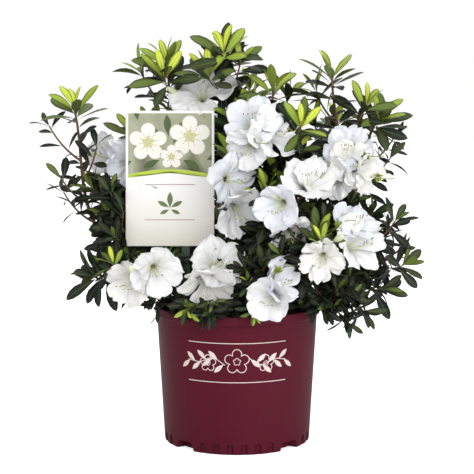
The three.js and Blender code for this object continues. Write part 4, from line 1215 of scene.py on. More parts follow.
flowers = [flower for mass in masses.values() for flower in mass["flowers"]]
flower_bases = np.array([flower["base"] for flower in flowers])
leaf_chance = np.random.default_rng(5)
flower_ways = np.array([flower["way"] for flower in flowers])
flower_ways = unit(flower_ways + FLOWER_NOD * leaf_chance.uniform(-1, 1, flower_ways.shape))
to_front = (flower_bases[:, 1] < FRONT_DEPTH)[:, None] * np.array([0, -FLOWER_TO_FRONT, FLOWER_UP])
flower_ways = unit(flower_ways + to_front)
for number, turn in BLOOM_TURNS.items():
    flower_ways[number] = unit(flower_ways[number] + turn)
for number, shift in BLOOM_SHIFTS.items():
    flower_bases[number] += shift
grown = []
for name, mass in masses.items():
    sets = []
    for number, (curve, length) in enumerate(mass["shoots"]):
        # Painted shade: a shoot's light falls with the height of its tip and is less on most side and fine
        # shoots, and its leaves take darker tones the less light it has.
        light = risen(curve[3, 2], LEAST_LIGHT, FULL_LIGHT)
        light = light * (1 if number == 0 else leaf_chance.uniform(0.5, 1))
        light = max(light, leaf_chance.choice(STRAY_LIGHTS))
        count = ROSETTE_LEAVES if number == 0 else SIDE_ROSETTES.get(name, SIDE_WHORL)
        sets.append(leaves_on(curve, length, leaf_chance, light if count > 4 else 0, count))
    for curve, length in mass["fine"]:
        light = leaf_chance.choice(FINE_LIGHTS) * risen(curve[3, 2], LEAST_FINE_LIGHT, FULL_FINE_LIGHT)
        sets.append(leaves_on(curve, length, leaf_chance, light, FINE_WHORL))
    together = {key: np.concatenate([one[key] for one in sets]) for key in sets[0]}
    grown.append(fitted(together))
    for curve, length, count, light, stature in mass["outer"]:
        grown.append(fitted(leaves_on(curve, length, leaf_chance, light, count, stature)))
leaves = {key: np.concatenate([one[key] for one in grown]) for key in grown[0]}

# Veins: waves over the UV map, along a surface and out from its middle line, and the nearness to its edge.
vein_group, given, results = new_group("vein_relief", {"Lengthwise": 14, "Crosswise": 6}, ["Height", "Edge"])


def reckon(tree, operation, *operands):
    """The result of a Math node on numbers and outputs."""
    return place_node(tree, "ShaderNodeMath", dict(enumerate(operands)), operation=operation).outputs[0]


spread = split_coordinates(vein_group, "UV")
aside = reckon(vein_group, "ABSOLUTE", reckon(vein_group, "SUBTRACT", spread["X"], 0.5))
along = reckon(vein_group, "MULTIPLY", spread["Y"], given["Lengthwise"])
phase = reckon(vein_group, "SUBTRACT", along, reckon(vein_group, "MULTIPLY", aside, given["Crosswise"]))
wave = reckon(vein_group, "SINE", reckon(vein_group, "MULTIPLY", phase, 2 * math.pi))
vein_group.links.new(reckon(vein_group, "MULTIPLY_ADD", wave, 0.5, 0.5), results.inputs["Height"])
margin = {"Value": aside, "From Min": 0.2, "From Max": 0.5}
margin = place_node(vein_group, "ShaderNodeMapRange", margin, interpolation_type="SMOOTHSTEP")
vein_group.links.new(margin.outputs[0], results.inputs["Edge"])


def place_veins(tree, lengthwise, crosswise):
    """The vein group placed in a material. Returns the relief's height and the nearness to the edge."""
    sockets = {"Lengthwise": lengthwise, "Crosswise": crosswise}
    node = place_node(tree, "ShaderNodeGroup", sockets, node_tree=vein_group)
    return node.outputs["Height"], node.outputs["Edge"]


surface = np.stack(np.broadcast_arrays((LEAF_COLUMNS[None] + 1) / 2, LEAF_ROWS[:, None]), -1)
for tone, (name, colour) in enumerate(LEAF_COLOURS.items()):
    leaf_skin, tree, shader = new_material(f"leaf_{name}", colour, 0.48, Specular_IOR_Level=0.24)
    underside = tuple(0.6 * part + 0.4 * pale for part, pale in zip(colour, PALE_UNDERSIDE))
    veins, edge = place_veins(tree, 9, 7)
    # Painted highlight and painted shade: the upper side is lighter down the middle and darker towards the
    # edge.
    upper = vary_colour(tree, shader, edge, dimmed(colour, 1.35), dimmed(colour, 0.32))
    back = place_node(tree, "ShaderNodeNewGeometry").outputs["Backfacing"]
    vary_colour(tree, shader, back, upper, underside)
    coarse, fine = place_grain(tree, 45, 400)
    vary_roughness(tree, shader, coarse, 0.42, 0.56)
    raise_relief(tree, shader, veins, 0.12)
    chosen = leaves["tone"] == tone
    some = {key: values[chosen] for key, values in leaves.items()}
    count = int(chosen.sum())
    blades = leaf_sheets(some, LEAF_ROWS, LEAF_COLUMNS)
    faces = grid_faces(len(LEAF_ROWS), len(LEAF_COLUMNS), copies=count)
    spread = np.tile(surface.reshape(-1, 2), (count, 1))
    piece = add_piece(f"leaves_{name}", blades, faces, leaf_skin, spread)
    if tone == 0:
        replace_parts(piece, *[f"foliage_{mass}" for mass in MASSES])

midrib_green = grained_material(
    "midrib", (0.1, 0.17, 0.035), 0.5, (60, 900), ((0.075, 0.13, 0.03), (0.14, 0.22, 0.05)), 0.05
)
ribs = leaf_sheets(leaves, LEAF_ROWS[1:], np.array([-1, 1]), MIDRIB_PROUD, MIDRIB_WIDTH)
rib_faces = grid_faces(len(LEAF_ROWS) - 1, 2, copies=len(leaves["root"]))
add_piece("midribs", ribs, rib_faces, midrib_green)


# Blooms: white funnels about 70 mm across, whose five broad lobes overlap and ruffle at the edge. Long
# stamens with dark anthers and a longer style come out of the throat, and a small green calyx holds each.
PETALS = 5
PETAL_ROWS = 26
PETAL_COLUMNS = 19
PETAL_HALF_WIDTH = 17.5
PETAL_PATH = np.array([[2.2, -1.5], [5.0, 12.0], [14.0, 22.0], [40.0, 23.0]])
THROAT_ROWS = 7
WHITE = {
    "petals_fresh": (0.82, 0.82, 0.825),
    "petals_cool": (0.765, 0.78, 0.83),
    "petals_cream": (0.82, 0.815, 0.79),
}
THROAT_CREAM = (0.78, 0.79, 0.62)
STAMENS = 6
STAMEN_LENGTH = 40
STAMEN_FAN = 0.12
STAMEN_SPREAD = (4, 9)
STAMEN_LIFT = (2, 5)
STAMEN_RADII = (0.32, 0.24)
THREAD_START = 2
THREAD_SAG = 1.5
THREAD_RISES = (0.45, 0.8)
THREAD_FANS = (1.2, 2, 7, 9)
STYLE_LENGTH = STAMEN_LENGTH * 1.22
STYLE_SPREAD = 10
STYLE_LIFT = 7
STYLE_RADII = (0.4, 0.5)
STYLE_ROWS = 11
STYLE_TURNS = 6
ANTHER_SPOTS = (-0.4, 0.3, 0.9, 2.4)
ANTHER_RADII = (0.55, 0.55)
FLECKS = 20
FLECK_ROWS = (8, 15)
FLECK_COLUMNS = (5, 13)
FLECK_LONG = 0.75
FLECK_WIDE = 0.4
FLECK_PROUD = 0.2
CALYX_SPOTS = (-7, -4.5, -2, 1.2)
CALYX_RADII = (1.2, 3.4)
STALK_BEHIND = 5
STALK_AHEAD = 4
STALK_LEAST = 12
EXTRA_FORWARD = 9
FULL_TRUSSES = ("top_right", "back_right_mid")
SECOND_BLOOMS = [
    (11, (7, 15, 12), (0.25, 0, 0.62), 1.12), (8, (4, 16, 26), (0.2, 0, 0.8), 0.95),
    (4, (22, 16, 12), (0.7, 0, 0.2), 0.9), (6, (18, 18, -22), (0.3, 0, -0.7), 0.9),
]
FOURTH_SIZE = 0.92
BLOOM_SIZES = (0.92, 1.08)
LARGER = {2: 0.94, 3: 1.12, 4: 1.25, 8: 1.08, 13: 1.12, 16: 1.12, 17: 0.92, 19: 1.1}

# The looks of a flower's small parts: the plain colour, the roughness, the scales of the grain, the colours
# that it goes between and, for some, its relief in millimetres.
SMALL_LOOKS = {
    "flecks": ((0.3, 0.32, 0.13), 0.6, (80, 400), ((0.22, 0.25, 0.08), (0.42, 0.42, 0.22))),
    "filaments": ((0.74, 0.76, 0.62), 0.5, (60, 500), ((0.78, 0.8, 0.7), (0.62, 0.68, 0.42))),
    "styles": ((0.42, 0.52, 0.16), 0.5, (60, 500), ((0.42, 0.52, 0.16), (0.6, 0.62, 0.35))),
    "anthers": ((0.06, 0.03, 0.02), 0.6, (80, 900), ((0.1, 0.05, 0.03), (0.24, 0.14, 0.07))),
    "spent_calyxes": ((0.36, 0.47, 0.05), 0.5, (90, 700), ((0.25, 0.36, 0.03), (0.42, 0.5, 0.07)), 0.1),
    "spent_styles": ((0.2, 0.24, 0.05), 0.5, (60, 500), ((0.16, 0.2, 0.04), (0.3, 0.33, 0.1))),
    "buds": ((0.7, 0.74, 0.5), 0.5, (30, 500, 0.3), ((0.5, 0.62, 0.22), (0.84, 0.85, 0.74)), 0.08),
}

# The fullest trusses open a fourth bloom in their middle, a little ahead of the others, and some blooms have
# a second one half behind them, given by its truss, its place from there, how it is turned, and its size.
bloom_chance = np.random.default_rng(31)


def add_bloom(base, way, size, knot):
    """One more bloom, which has a turn of its own about its axis."""
    turn = bloom_chance.uniform(0, 2)
    flowers.append({"base": base, "way": way, "size": size, "turn": turn, "knot": knot})


for name, middle, count, faces in TRUSSES:
    if count == 3 and name in FULL_TRUSSES:
        way = heading(*faces)
        base = polar(*middle) + way * (EXTRA_FORWARD - FLOWER_DEPTH * BASE_BEHIND)
        knot = polar(*middle) - way * FLOWER_DEPTH * KNOT_BEHIND
        add_bloom(base, way, FOURTH_SIZE, knot)
for number, aside, turned, size in SECOND_BLOOMS:
    _, middle, _, faces = TRUSSES[number]
    way = unit(heading(*faces) + turned)
    knot = polar(*middle) - heading(*faces) * FLOWER_DEPTH * KNOT_BEHIND
    base = polar(*middle) + aside - way * FLOWER_DEPTH * BASE_BEHIND
    add_bloom(base, way, size, knot)
more = flowers[len(flower_ways) :]
bases = np.concatenate([flower_bases, [flower["base"] for flower in more]])
ways = np.concatenate([flower_ways, [flower["way"] for flower in more]])
sizes = np.array([flower["size"] for flower in flowers]) * bloom_chance.uniform(*BLOOM_SIZES, len(flowers))
for number, larger in LARGER.items():
    sizes[number] *= larger
turns = np.array([flower["turn"] for flower in flowers])
bloom_count = len(flowers)


def bloom_frames(ways):
    """Two directions across each facing way: X and Y after the shortest turn that carries +Z to the way."""
    x, y, z = ways.T
    bend = 1 / (1 + z)
    first = np.stack([1 - x * x * bend, -x * y * bend, -x], -1)
    second = np.stack([-x * y * bend, 1 - y * y * bend, -y], -1)
    return first, second


first, second = bloom_frames(ways)


def stand_on_base(x, y, z):
    """Places in a bloom's own frame, scaled and carried to its base. The first axis is the blooms'."""
    shape = (-1,) + (1,) * (x.ndim - 1) + (3,)
    scale = sizes.reshape(shape[:-1])[..., None]
    local = x[..., None] * first.reshape(shape) + y[..., None] * second.reshape(shape)
    return bases.reshape(shape) + scale * (local + z[..., None] * ways.reshape(shape))


lobe_angles = turns[:, None] + math.pi / PETALS + 2 * math.pi / PETALS * np.arange(PETALS)


def petal_lobes():
    """Five lobes a bloom. A lobe's middle line is a cubic from the tube out to the tip, which a closer
    bloom lifts and draws in, with rows that crowd towards the tip. Its half width follows the tube's fifth
    part at first and then a sine's bow over its reach, round at the end, and its edge is a little uneven.
    The surface ruffles with waves that grow towards the edge, and folds along its middle. One edge lies
    over the next lobe."""
    s = 1 - (1 - np.linspace(0, 1, PETAL_ROWS)[None, None, :, None]) ** 1.6
    t = np.linspace(-1, 1, PETAL_COLUMNS)[None, None, None, :]
    one = (bloom_count, PETALS, 1, 1)
    closer = bloom_chance.uniform(0, 1, (bloom_count, 1, 1, 1)) ** 1.5
    lobe = bloom_chance.uniform(-1, 1, one)
    other = bloom_chance.uniform(-1, 1, one)
    pointed = bloom_chance.uniform(0, 1, (bloom_count, 1, 1, 1)) ** 2
    wavy = bloom_chance.uniform(0.8, 1.7, (bloom_count, 1, 1, 1))
    phase = bloom_chance.uniform(0, 2 * math.pi, one + (6,))
    uneven = 0.012 * np.sin(6 * t + phase[..., 3]) * s**3 + 0.006 * np.sin(17 * t + phase[..., 4]) * s**5
    drawn = s * (1 - 0.06 * t**2 * s + uneven)
    weights = [(1 - drawn) ** 3, 3 * drawn * (1 - drawn) ** 2, 3 * drawn**2 * (1 - drawn), drawn**3]
    reach = sum(weight * point for weight, point in zip(weights, PETAL_PATH[:, 0]))
    height = sum(weight * point for weight, point in zip(weights, PETAL_PATH[:, 1]))
    share = 0.985 * np.minimum(reach / PETAL_PATH[3, 0], 1)
    free = eased((share - 0.2) / 0.26)
    bow = np.sin(math.pi * share ** (1.6 + 0.25 * lobe - 0.25 * pointed)) ** (0.58 + 0.42 * pointed)
    reach = reach * (1 + 0.06 * other * free - 0.2 * closer * free * s)
    height = height + (13 * closer + 5 * lobe) * s**2.2
    tube_half = reach * math.tan(math.pi / PETALS) * 1.04
    lobe_half = PETAL_HALF_WIDTH * (1 + 0.1 * other) * bow
    lobe_half = lobe_half * (1 + 0.04 * np.sin(16 * s + 2 * np.sign(t) + phase[..., 4]))
    half = tube_half * (1 - free) + lobe_half * free
    aside = -half * t
    edge = np.abs(t) ** 1.8 * s
    ruffle = 2.4 * np.sin(13 * s * (1 + 0.15 * lobe) + phase[..., 0] + 1.5 * t) * edge
    ruffle = ruffle + 2.1 * np.sin(4.4 * t + phase[..., 1]) * s**3
    ruffle = ruffle + 1.3 * np.sin(9 * t + 5 * s + phase[..., 2]) * s**3
    ruffle = ruffle + 0.8 * np.sin(27 * s + phase[..., 5]) * np.abs(t) ** 3 * s
    ruffle = ruffle + 0.6 * np.sin(15 * t + phase[..., 1]) * s**5
    crease = -2.0 * np.exp(-((t / 0.22) ** 2)) * np.sin(math.pi * s) ** 1.5 * (1 + 0.4 * other)
    ribs = 0.35 * np.cos(15 * t + phase[..., 5]) * np.sin(math.pi * s)
    ruffle = ruffle * wavy
    cup = (1.0 + 3.0 * lobe) * t**2 * s**1.5
    over = 2.2 * t * free
    lift = height + ruffle + crease + ribs + cup + over
    angle = lobe_angles[..., None, None] + 0.11 * other
    wrapped = aside / np.maximum(reach, 1.5)
    x = reach * np.cos(wrapped) * (1 - free) + reach * free
    y = reach * np.sin(wrapped) * (1 - free) + aside * free
    return x * np.cos(angle) - y * np.sin(angle), x * np.sin(angle) + y * np.cos(angle), lift


lobes = stand_on_base(*petal_lobes())
surface = np.meshgrid(np.linspace(0, 1, PETAL_COLUMNS), np.linspace(0, 1, PETAL_ROWS))
surface = np.stack(surface, -1)
tint = (np.arange(bloom_count) * 3 + 2) % 10
tints = {"petals_fresh": tint < 5, "petals_cool": (tint >= 5) & (tint < 8), "petals_cream": tint >= 8}
for name, colour in WHITE.items():
    petal_skin, tree, shader = new_material(name, colour, 0.55, Specular_IOR_Level=0.3)
    raise_relief(tree, shader, place_veins(tree, 0, 20)[0], 0.2, 0.8)
    chosen = lobes[tints[name]][..., THROAT_ROWS - 1 :, :, :]
    rows = PETAL_ROWS - THROAT_ROWS + 1
    copies = chosen.shape[0] * PETALS
    outer = np.tile(surface[THROAT_ROWS - 1 :].reshape(-1, 2), (copies, 1))
    add_piece(name, chosen, grid_faces(rows, PETAL_COLUMNS, copies=copies), petal_skin, outer)

throat_skin, tree, shader = new_material("throats", THROAT_CREAM, 0.55, Specular_IOR_Level=0.3)
coarse, fine = place_grain(tree, 40, 400)
vary_colour(tree, shader, coarse, THROAT_CREAM, (0.8, 0.8, 0.72))
raise_relief(tree, shader, place_veins(tree, 0, 22)[0], 0.12, 0.6)
copies = bloom_count * PETALS
inner = np.tile(surface[:THROAT_ROWS].reshape(-1, 2), (copies, 1))
throat_faces = grid_faces(THROAT_ROWS, PETAL_COLUMNS, copies=copies)
add_piece("throats", lobes[..., :THROAT_ROWS, :, :], throat_faces, throat_skin, inner)

# Flecks: small olive marks inside the uppermost lobe, each a flat diamond just over the petal.
rise = np.cos(lobe_angles) * first[:, 2:] + np.sin(lobe_angles) * second[:, 2:]
top_lobe = np.argmax(rise, axis=1)
top_places = lobes[np.arange(bloom_count), top_lobe]
row = bloom_chance.integers(*FLECK_ROWS, (bloom_count, FLECKS))
column = bloom_chance.integers(*FLECK_COLUMNS, (bloom_count, FLECKS))
bloom = np.arange(bloom_count)[:, None]
corner = top_places[bloom, row, column]
ahead = top_places[bloom, row + 1, column] - corner
beside = top_places[bloom, row, column + 1] - corner
at = corner + ahead * bloom_chance.random((bloom_count, FLECKS, 1))
at = at + beside * bloom_chance.random((bloom_count, FLECKS, 1))
face = unit(np.cross(beside, ahead))
long, short = unit(ahead) * FLECK_LONG, unit(beside) * FLECK_WIDE
flecks = np.stack([at - long, at + short, at - short, at + long], 2) + face[:, :, None] * FLECK_PROUD
fleck_olive = grained_material("flecks", *SMALL_LOOKS["flecks"])
add_piece("flecks", flecks, grid_faces(2, 2, copies=bloom_count * FLECKS), fleck_olive)


def thread_curves(fan, spread, length, lift):
    """Cubics that rise in the tube and lean out below the bloom's axis before they turn up again. fan is
    the sideways lean of each, spread how far it comes out, and lift how far its end turns up."""
    down = -(first * first[:, 2:] + second * second[:, 2:])
    down = np.where(np.abs(down).sum(1, keepdims=True) > 1e-3, down, -first)
    down = unit(down)[:, None]
    side = np.cross(ways[:, None], down)
    way, scale, base = ways[:, None], sizes[:, None, None], bases[:, None]
    aside = side * fan[..., None]
    start = base + scale * (THREAD_START * way + aside * THREAD_FANS[0])
    low = base + scale * (way * length * THREAD_RISES[0] + down * THREAD_SAG + aside * THREAD_FANS[1])
    mid = base + scale * (way * length * THREAD_RISES[1] + down * spread[..., None] + aside * THREAD_FANS[2])
    end = base + scale * (way * length + down * (spread - lift)[..., None] + aside * THREAD_FANS[3])
    return np.stack([start, low, mid, end], -2).reshape(-1, 4, 3)


each = (bloom_count, STAMENS)
fan = np.linspace(-1, 1, STAMENS)[None] + bloom_chance.normal(0, STAMEN_FAN, each)
spread, lift = bloom_chance.uniform(*STAMEN_SPREAD, each), bloom_chance.uniform(*STAMEN_LIFT, each)
filaments = thread_curves(fan, spread, STAMEN_LENGTH, lift)
single = np.ones((bloom_count, 1))
styles = thread_curves(0 * single, STYLE_SPREAD * single, STYLE_LENGTH, STYLE_LIFT * single)
thread_white = grained_material("filaments", *SMALL_LOOKS["filaments"])
add_tubes("filaments", filaments, STAMEN_RADII, 9, 5, thread_white)
style_green = grained_material("styles", *SMALL_LOOKS["styles"])
add_tubes("styles", styles, STYLE_RADII, STYLE_ROWS, STYLE_TURNS, style_green)
tips = filaments[:, 3]
tip_ways = unit(tips - filaments[:, 2])
pods = np.stack([tips + tip_ways * ahead for ahead in ANTHER_SPOTS], 1)
anther_dark = grained_material("anthers", *SMALL_LOOKS["anthers"])
add_tubes("anthers", pods, ANTHER_RADII, 5, 6, anther_dark)

# Calyxes and stalks: each bloom's green cup behind its tube, and the stalks from the truss's knot to it.
cups = np.stack([bases + ways * ahead for ahead in CALYX_SPOTS], 1)
knots = np.array([flower["knot"] for flower in flowers])
stalks = [
    sweep(knot, unit(base - knot), base - way * STALK_BEHIND, way, TWIG_PULL)
    for knot, base, way in zip(knots, bases, ways)
    if (base - knot) @ way > STALK_AHEAD or np.linalg.norm(base - knot) > STALK_LEAST
]
calyx_green = grained_material("calyxes", GREEN_STALK, 0.55, (70, 900), (GREEN_STALK, GREEN_STALK_PALE), 0.15)
add_tubes("calyxes", cups, CALYX_RADII, 8, 10, calyx_green)
add_tubes("flower_stalks", stalks, STALK_RADII, SHOOT_ROWS, SHOOT_TURNS, calyx_green)

# Spent blooms: where petals have dropped, a small yellow-green cup of five points is left on its stalk with
# the long curved style. Buds stand beside some trusses, still closed to a point and green at the base.
SPENT = [
    (1, (6, -8), 26), (3, (-14, 8), 30), (3, (-30, -16), 20), (0, (30, -16), 16), (12, (2, 32), 10),
    (5, (-26, -20), 18), (8, (24, 20), 16), (13, (28, 4), 16), (16, (0, 18), 24), (14, (-8, 18), 24),
]
BUDS = [
    (0, (24, 8), 20), (2, (-22, 14), 18), (4, (20, -16), 20), (7, (-22, 16), 20), (9, (-20, 16), 20),
    (15, (16, 20), 24),
]
CUP_PROFILE = np.array([[0, 0], [1.6, 0.3], [3.0, 1.8], [3.7, 4.2], [4.6, 6.6], [5.4, 8.2]])
BUD_PROFILE = np.array([[0, 0], [2.3, 0.6], [3.1, 5], [4.4, 12], [4.0, 18], [2.1, 23], [0, 26]])
AROUND = 20
SPLAY_A_MM = 0.02
CUP_LOBES = (0.3, 1.9)
BUD_LOBES = (0.08, 0)
BUD_SUNK = 0.5
SPENT_RADII = (0.6, 0.65)
SPENT_SWAY = 0.35
SPENT_DROP = 0.4
SPENT_STYLE = ((0, 0), (9, 0), (16, 8), (13, 24))
bud_chance = np.random.default_rng(47)


def beside_truss(number, aside, forward):
    """A place beside a truss of bloom: from its middle so far across and up, and so far ahead. With the
    knot that its stalk leaves and the way it faces."""
    _, middle, _, faces = TRUSSES[number]
    middle, way = polar(*middle), heading(*faces)
    side, over = facing_frame(way)
    place = middle + side * aside[0] + over * aside[1] + way * (forward - FLOWER_DEPTH * SPENT_DROP)
    faces = unit(way + side * aside[0] * SPLAY_A_MM + over * aside[1] * SPLAY_A_MM)
    return place, middle - way * FLOWER_DEPTH * KNOT_BEHIND, faces


def lobed_turning(profile, place, way, lobes, points):
    """A profile of radius and length turned round a way. Its radius swells lobes times round by a share
    that grows along it, and its last rows run out to points where it swells."""
    side, over = facing_frame(way)
    turn = np.linspace(0, 2 * math.pi, AROUND, endpoint=False)
    share = (profile[:, 1:] / profile[-1, 1]) ** 2
    swell = np.cos(5 * turn)[None] * share
    wide = profile[:, :1] * (1 + lobes * swell)
    ring = (wide * np.cos(turn))[..., None] * side + (wide * np.sin(turn))[..., None] * over
    return place + ring + (profile[:, 1:] + points * swell)[..., None] * way


spent_cups, spent_styles, buds, spare_stalks = [], [], [], []
for number, aside, forward in SPENT:
    place, knot, way = beside_truss(number, aside, forward)
    way = unit(way + bud_chance.normal(0, SPENT_SWAY, 3))
    side, _ = facing_frame(way)
    spent_cups.append(lobed_turning(CUP_PROFILE, place, way, *CUP_LOBES))
    spare_stalks.append(sweep(knot, way, place, way, TWIG_PULL))
    bend = side * bud_chance.choice([-1, 1])
    spent_styles.append(np.array([place + way * ahead + bend * aside for ahead, aside in SPENT_STYLE]))
spent_green = grained_material("spent_calyxes", *SMALL_LOOKS["spent_calyxes"])
cup_faces = grid_faces(len(CUP_PROFILE), AROUND, True, len(spent_cups))
add_piece("spent_calyxes", np.stack(spent_cups), cup_faces, spent_green, closed=True)
spent_olive = grained_material("spent_styles", *SMALL_LOOKS["spent_styles"])
add_tubes("spent_styles", spent_styles, SPENT_RADII, STYLE_ROWS, STYLE_TURNS, spent_olive)

for number, aside, forward in BUDS:
    place, knot, way = beside_truss(number, aside, forward)
    buds.append(lobed_turning(BUD_PROFILE, place, way, *BUD_LOBES))
    spare_stalks.append(sweep(knot, way, place + way * BUD_SUNK, way, TWIG_PULL))
bud_skin = grained_material("buds", *SMALL_LOOKS["buds"], Specular_IOR_Level=0.3)
bud_faces = grid_faces(len(BUD_PROFILE), AROUND, True, len(buds))
add_piece("buds", np.stack(buds), bud_faces, bud_skin, closed=True)
add_tubes("bud_stalks", spare_stalks, STALK_RADII, SHOOT_ROWS, SHOOT_TURNS, calyx_green)


# Label: a card of plastic-coated paper with rounded corners on a flat green stake that is pushed into the
# soil. It carries a printed picture of blossoms over a pale field, in a plain layout with no words.
CARD_CORNER = 1.5
STAKE_WIDTH = 11
STAKE_THICKNESS = 2
STAKE_DEPTH = 50
STAKE_OVERLAP = 70
STAKE_SUNK = 0.5
PICTURE_LOW = 98
PICTURE_MARGIN = 3.5
CARD_WHITE = (0.86, 0.85, 0.825)
CARD_CREAM = (0.75, 0.72, 0.635)
CREAM_HEIGHT = 75
CARD_GLOSS = 0.3
CARD_GRAIN = (35, 250)

# The picture and the sprig on the card: blossoms by middle and size, leaves by foot, bearing, length, width.
PICTURE_BLOSSOMS = [(-30, 142, 27), (27, 150, 29), (2, 122, 17)]
PICTURE_LEAVES = [
    (-8, 138, 128, 34, 11), (4, 140, 62, 38, 12), (-2, 150, 95, 30, 10), (50, 118, 20, 20, 9),
    (-52, 116, 200, 18, 8), (-14, 118, 205, 24, 9), (18, 118, -28, 26, 10), (-44, 172, 100, 20, 8),
]
SPRIG = [
    (0, 52, 90, 22, 7.5), (-1, 53, 152, 18, 6), (1, 53, 28, 18, 6), (-1, 50, 205, 14, 5), (1, 50, -25, 14, 5),
]
ARCH_RISE = 7
BAND_HEIGHT = 4.5
PETAL_SHARE = 0.95
HEART_SHARE = 0.32
THREADS = 10
THREAD_SHARES = (0.06, 0.52)
THREAD_WIDTH = 0.45
SPRIG_LINES = (36.0, 84.0)
SPRIG_HALF = 34
SPRIG_LINE_WIDTH = 0.7

# The card's inks: the two colours that the grain goes between, and how far each ink stands off the card.
CARD_INKS = {
    "picture_ground": ((0.2, 0.23, 0.13), (0.42, 0.42, 0.3), 0.12),
    "picture_band": ((0.42, 0.55, 0.04), (0.48, 0.6, 0.07), 0.16),
    "picture_leaves": ((0.03, 0.06, 0.015), (0.07, 0.12, 0.025), 0.2),
    "picture_petal_edges": ((0.45, 0.42, 0.36), (0.52, 0.5, 0.44), 0.24),
    "picture_petals": ((0.76, 0.72, 0.64), (0.83, 0.81, 0.76), 0.28),
    "picture_hearts": ((0.55, 0.55, 0.24), (0.66, 0.64, 0.4), 0.32),
    "picture_threads": ((0.26, 0.16, 0.1), (0.4, 0.3, 0.18), 0.36),
    "sprig": ((0.09, 0.13, 0.05), (0.16, 0.22, 0.08), 0.14),
    "sprig_lines": ((0.16, 0.02, 0.03), (0.2, 0.04, 0.05), 0.14),
}


def on_card(flat, before):
    """Carries a flat drawing onto the card: its numbers are the places across from the middle and up from the
    lower edge, and the drawing stands so far before the card's face."""
    across = np.array([1.0, 0, 0])
    before = np.broadcast_to(before, flat.shape[:-1])[..., None]
    return label_foot + flat[..., :1] * across + flat[..., 1:] * card_up + before * card_front


def rounded_outline(left, right, low, high, corner, points=7):
    """A rectangle's outline with quarter circles at its corners, anticlockwise from the lower right."""
    quarter = np.linspace(0, math.pi / 2, points)
    middles = [(right - corner, low + corner), (right - corner, high - corner)]
    middles += [(left + corner, high - corner), (left + corner, low + corner)]
    arcs = []
    for number, (x, y) in enumerate(middles):
        angle = quarter + math.pi / 2 * (number - 1)
        arcs.append(np.stack([x + corner * np.cos(angle), y + corner * np.sin(angle)], -1))
    return np.concatenate(arcs)


def slab(outline, front, back, edge=0.25):
    """A closed flat plate from an outline: rings from its front's middle over a small bevel to its back."""
    middle = outline.mean(0)
    drawn_in = 1 - edge / np.abs(outline - middle).max()
    flat = drawn_in - 0.006
    scales = np.array([0, 0.5, flat, drawn_in, 1, 1, drawn_in, flat, 0.5, 0])
    depths = np.array([front] * 4 + [front - edge, back + edge] + [back] * 4)
    rings = middle + scales[:, None, None] * (outline - middle)
    return on_card(rings, depths[:, None])


outline = rounded_outline(-CARD_WIDTH / 2, CARD_WIDTH / 2, 0, CARD_HEIGHT, CARD_CORNER)
card_stock, tree, shader = new_material("card_stock", CARD_WHITE, CARD_GLOSS)
fade = {"From Min": CARD_BOTTOM * METRES, "From Max": (CARD_BOTTOM + CREAM_HEIGHT) * METRES}
fade = place_node(tree, "ShaderNodeMapRange", {"Value": split_coordinates(tree, "Object")["Z"], **fade})
vary_colour(tree, shader, fade.outputs[0], CARD_CREAM, CARD_WHITE)
coarse, fine = place_grain(tree, 25, 900)
raise_relief(tree, shader, fine, 0.03)
card = slab(outline, 0, -CARD_THICKNESS)
card_faces = grid_faces(len(card), len(outline), wrapped=True)[:, ::-1]
card = add_piece("label_card_plate", card, card_faces, card_stock, closed=True)
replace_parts(card, "label_card")
fall = CARD_BOTTOM - SOIL_TOP
half, point = STAKE_WIDTH / 2, -fall - STAKE_DEPTH
stake_outline = np.array(
    [[0, point], [half, point + STAKE_WIDTH], [half, STAKE_OVERLAP - 2], [half - 2, STAKE_OVERLAP]]
    + [[2 - half, STAKE_OVERLAP], [-half, STAKE_OVERLAP - 2], [-half, point + STAKE_WIDTH]]
) + [STAKE_X - CARD_X, 0]
front = STAKE_SUNK - CARD_THICKNESS
stake = slab(stake_outline, front, front - STAKE_THICKNESS, 0.4)
stake_plastic, tree, shader = new_material("stake_plastic", (0.02, 0.045, 0.02), 0.45)
coarse, fine = place_grain(tree, 20, 700, 0.2)
vary_roughness(tree, shader, coarse, 0.34, 0.5)
raise_relief(tree, shader, fine, 0.04)
stake_faces = grid_faces(len(stake), len(stake_outline), wrapped=True)[:, ::-1]
add_piece("label_stake", stake, stake_faces, stake_plastic, closed=True)


def printed_patch(name, outlines):
    """Patches of ink: each outline is filled from its middle by rings, the first of no width."""
    grids = []
    for outline in outlines:
        outline = np.asarray(outline, float)
        middle = outline.mean(0)
        grids.append(middle + np.array([0, 0.55, 1])[:, None, None] * (outline - middle))
    flat, faces = join_grids(grids, wrapped=True)
    first_ink, second_ink, before = CARD_INKS[name]
    ink = grained_material(name, first_ink, CARD_GLOSS, CARD_GRAIN, (first_ink, second_ink))
    add_piece(name, on_card(flat, before), faces[:, ::-1], ink, closed=True)


def printed_lines(name, lines, colour):
    """Strips of ink on the card, each a grid of two columns. colour is the ink's plain one."""
    flat, faces = join_grids(lines)
    *ends, before = CARD_INKS[name]
    ink = grained_material(name, colour, CARD_GLOSS, CARD_GRAIN, ends)
    add_piece(name, on_card(flat, before), faces, ink)


def leaf_outline(start, turn, length, width):
    """A leaf's outline anticlockwise: out along one bow of a sine's shape and back along the other."""
    grid = ink_leaf(start, turn, length, width)
    return np.concatenate([grid[:, 1], grid[::-1, 0]])


def leaf_outlines(leaves):
    """The outlines of leaves given by foot, bearing, length and width."""
    return [leaf_outline((x, y), turn, length, width) for x, y, turn, length, width in leaves]


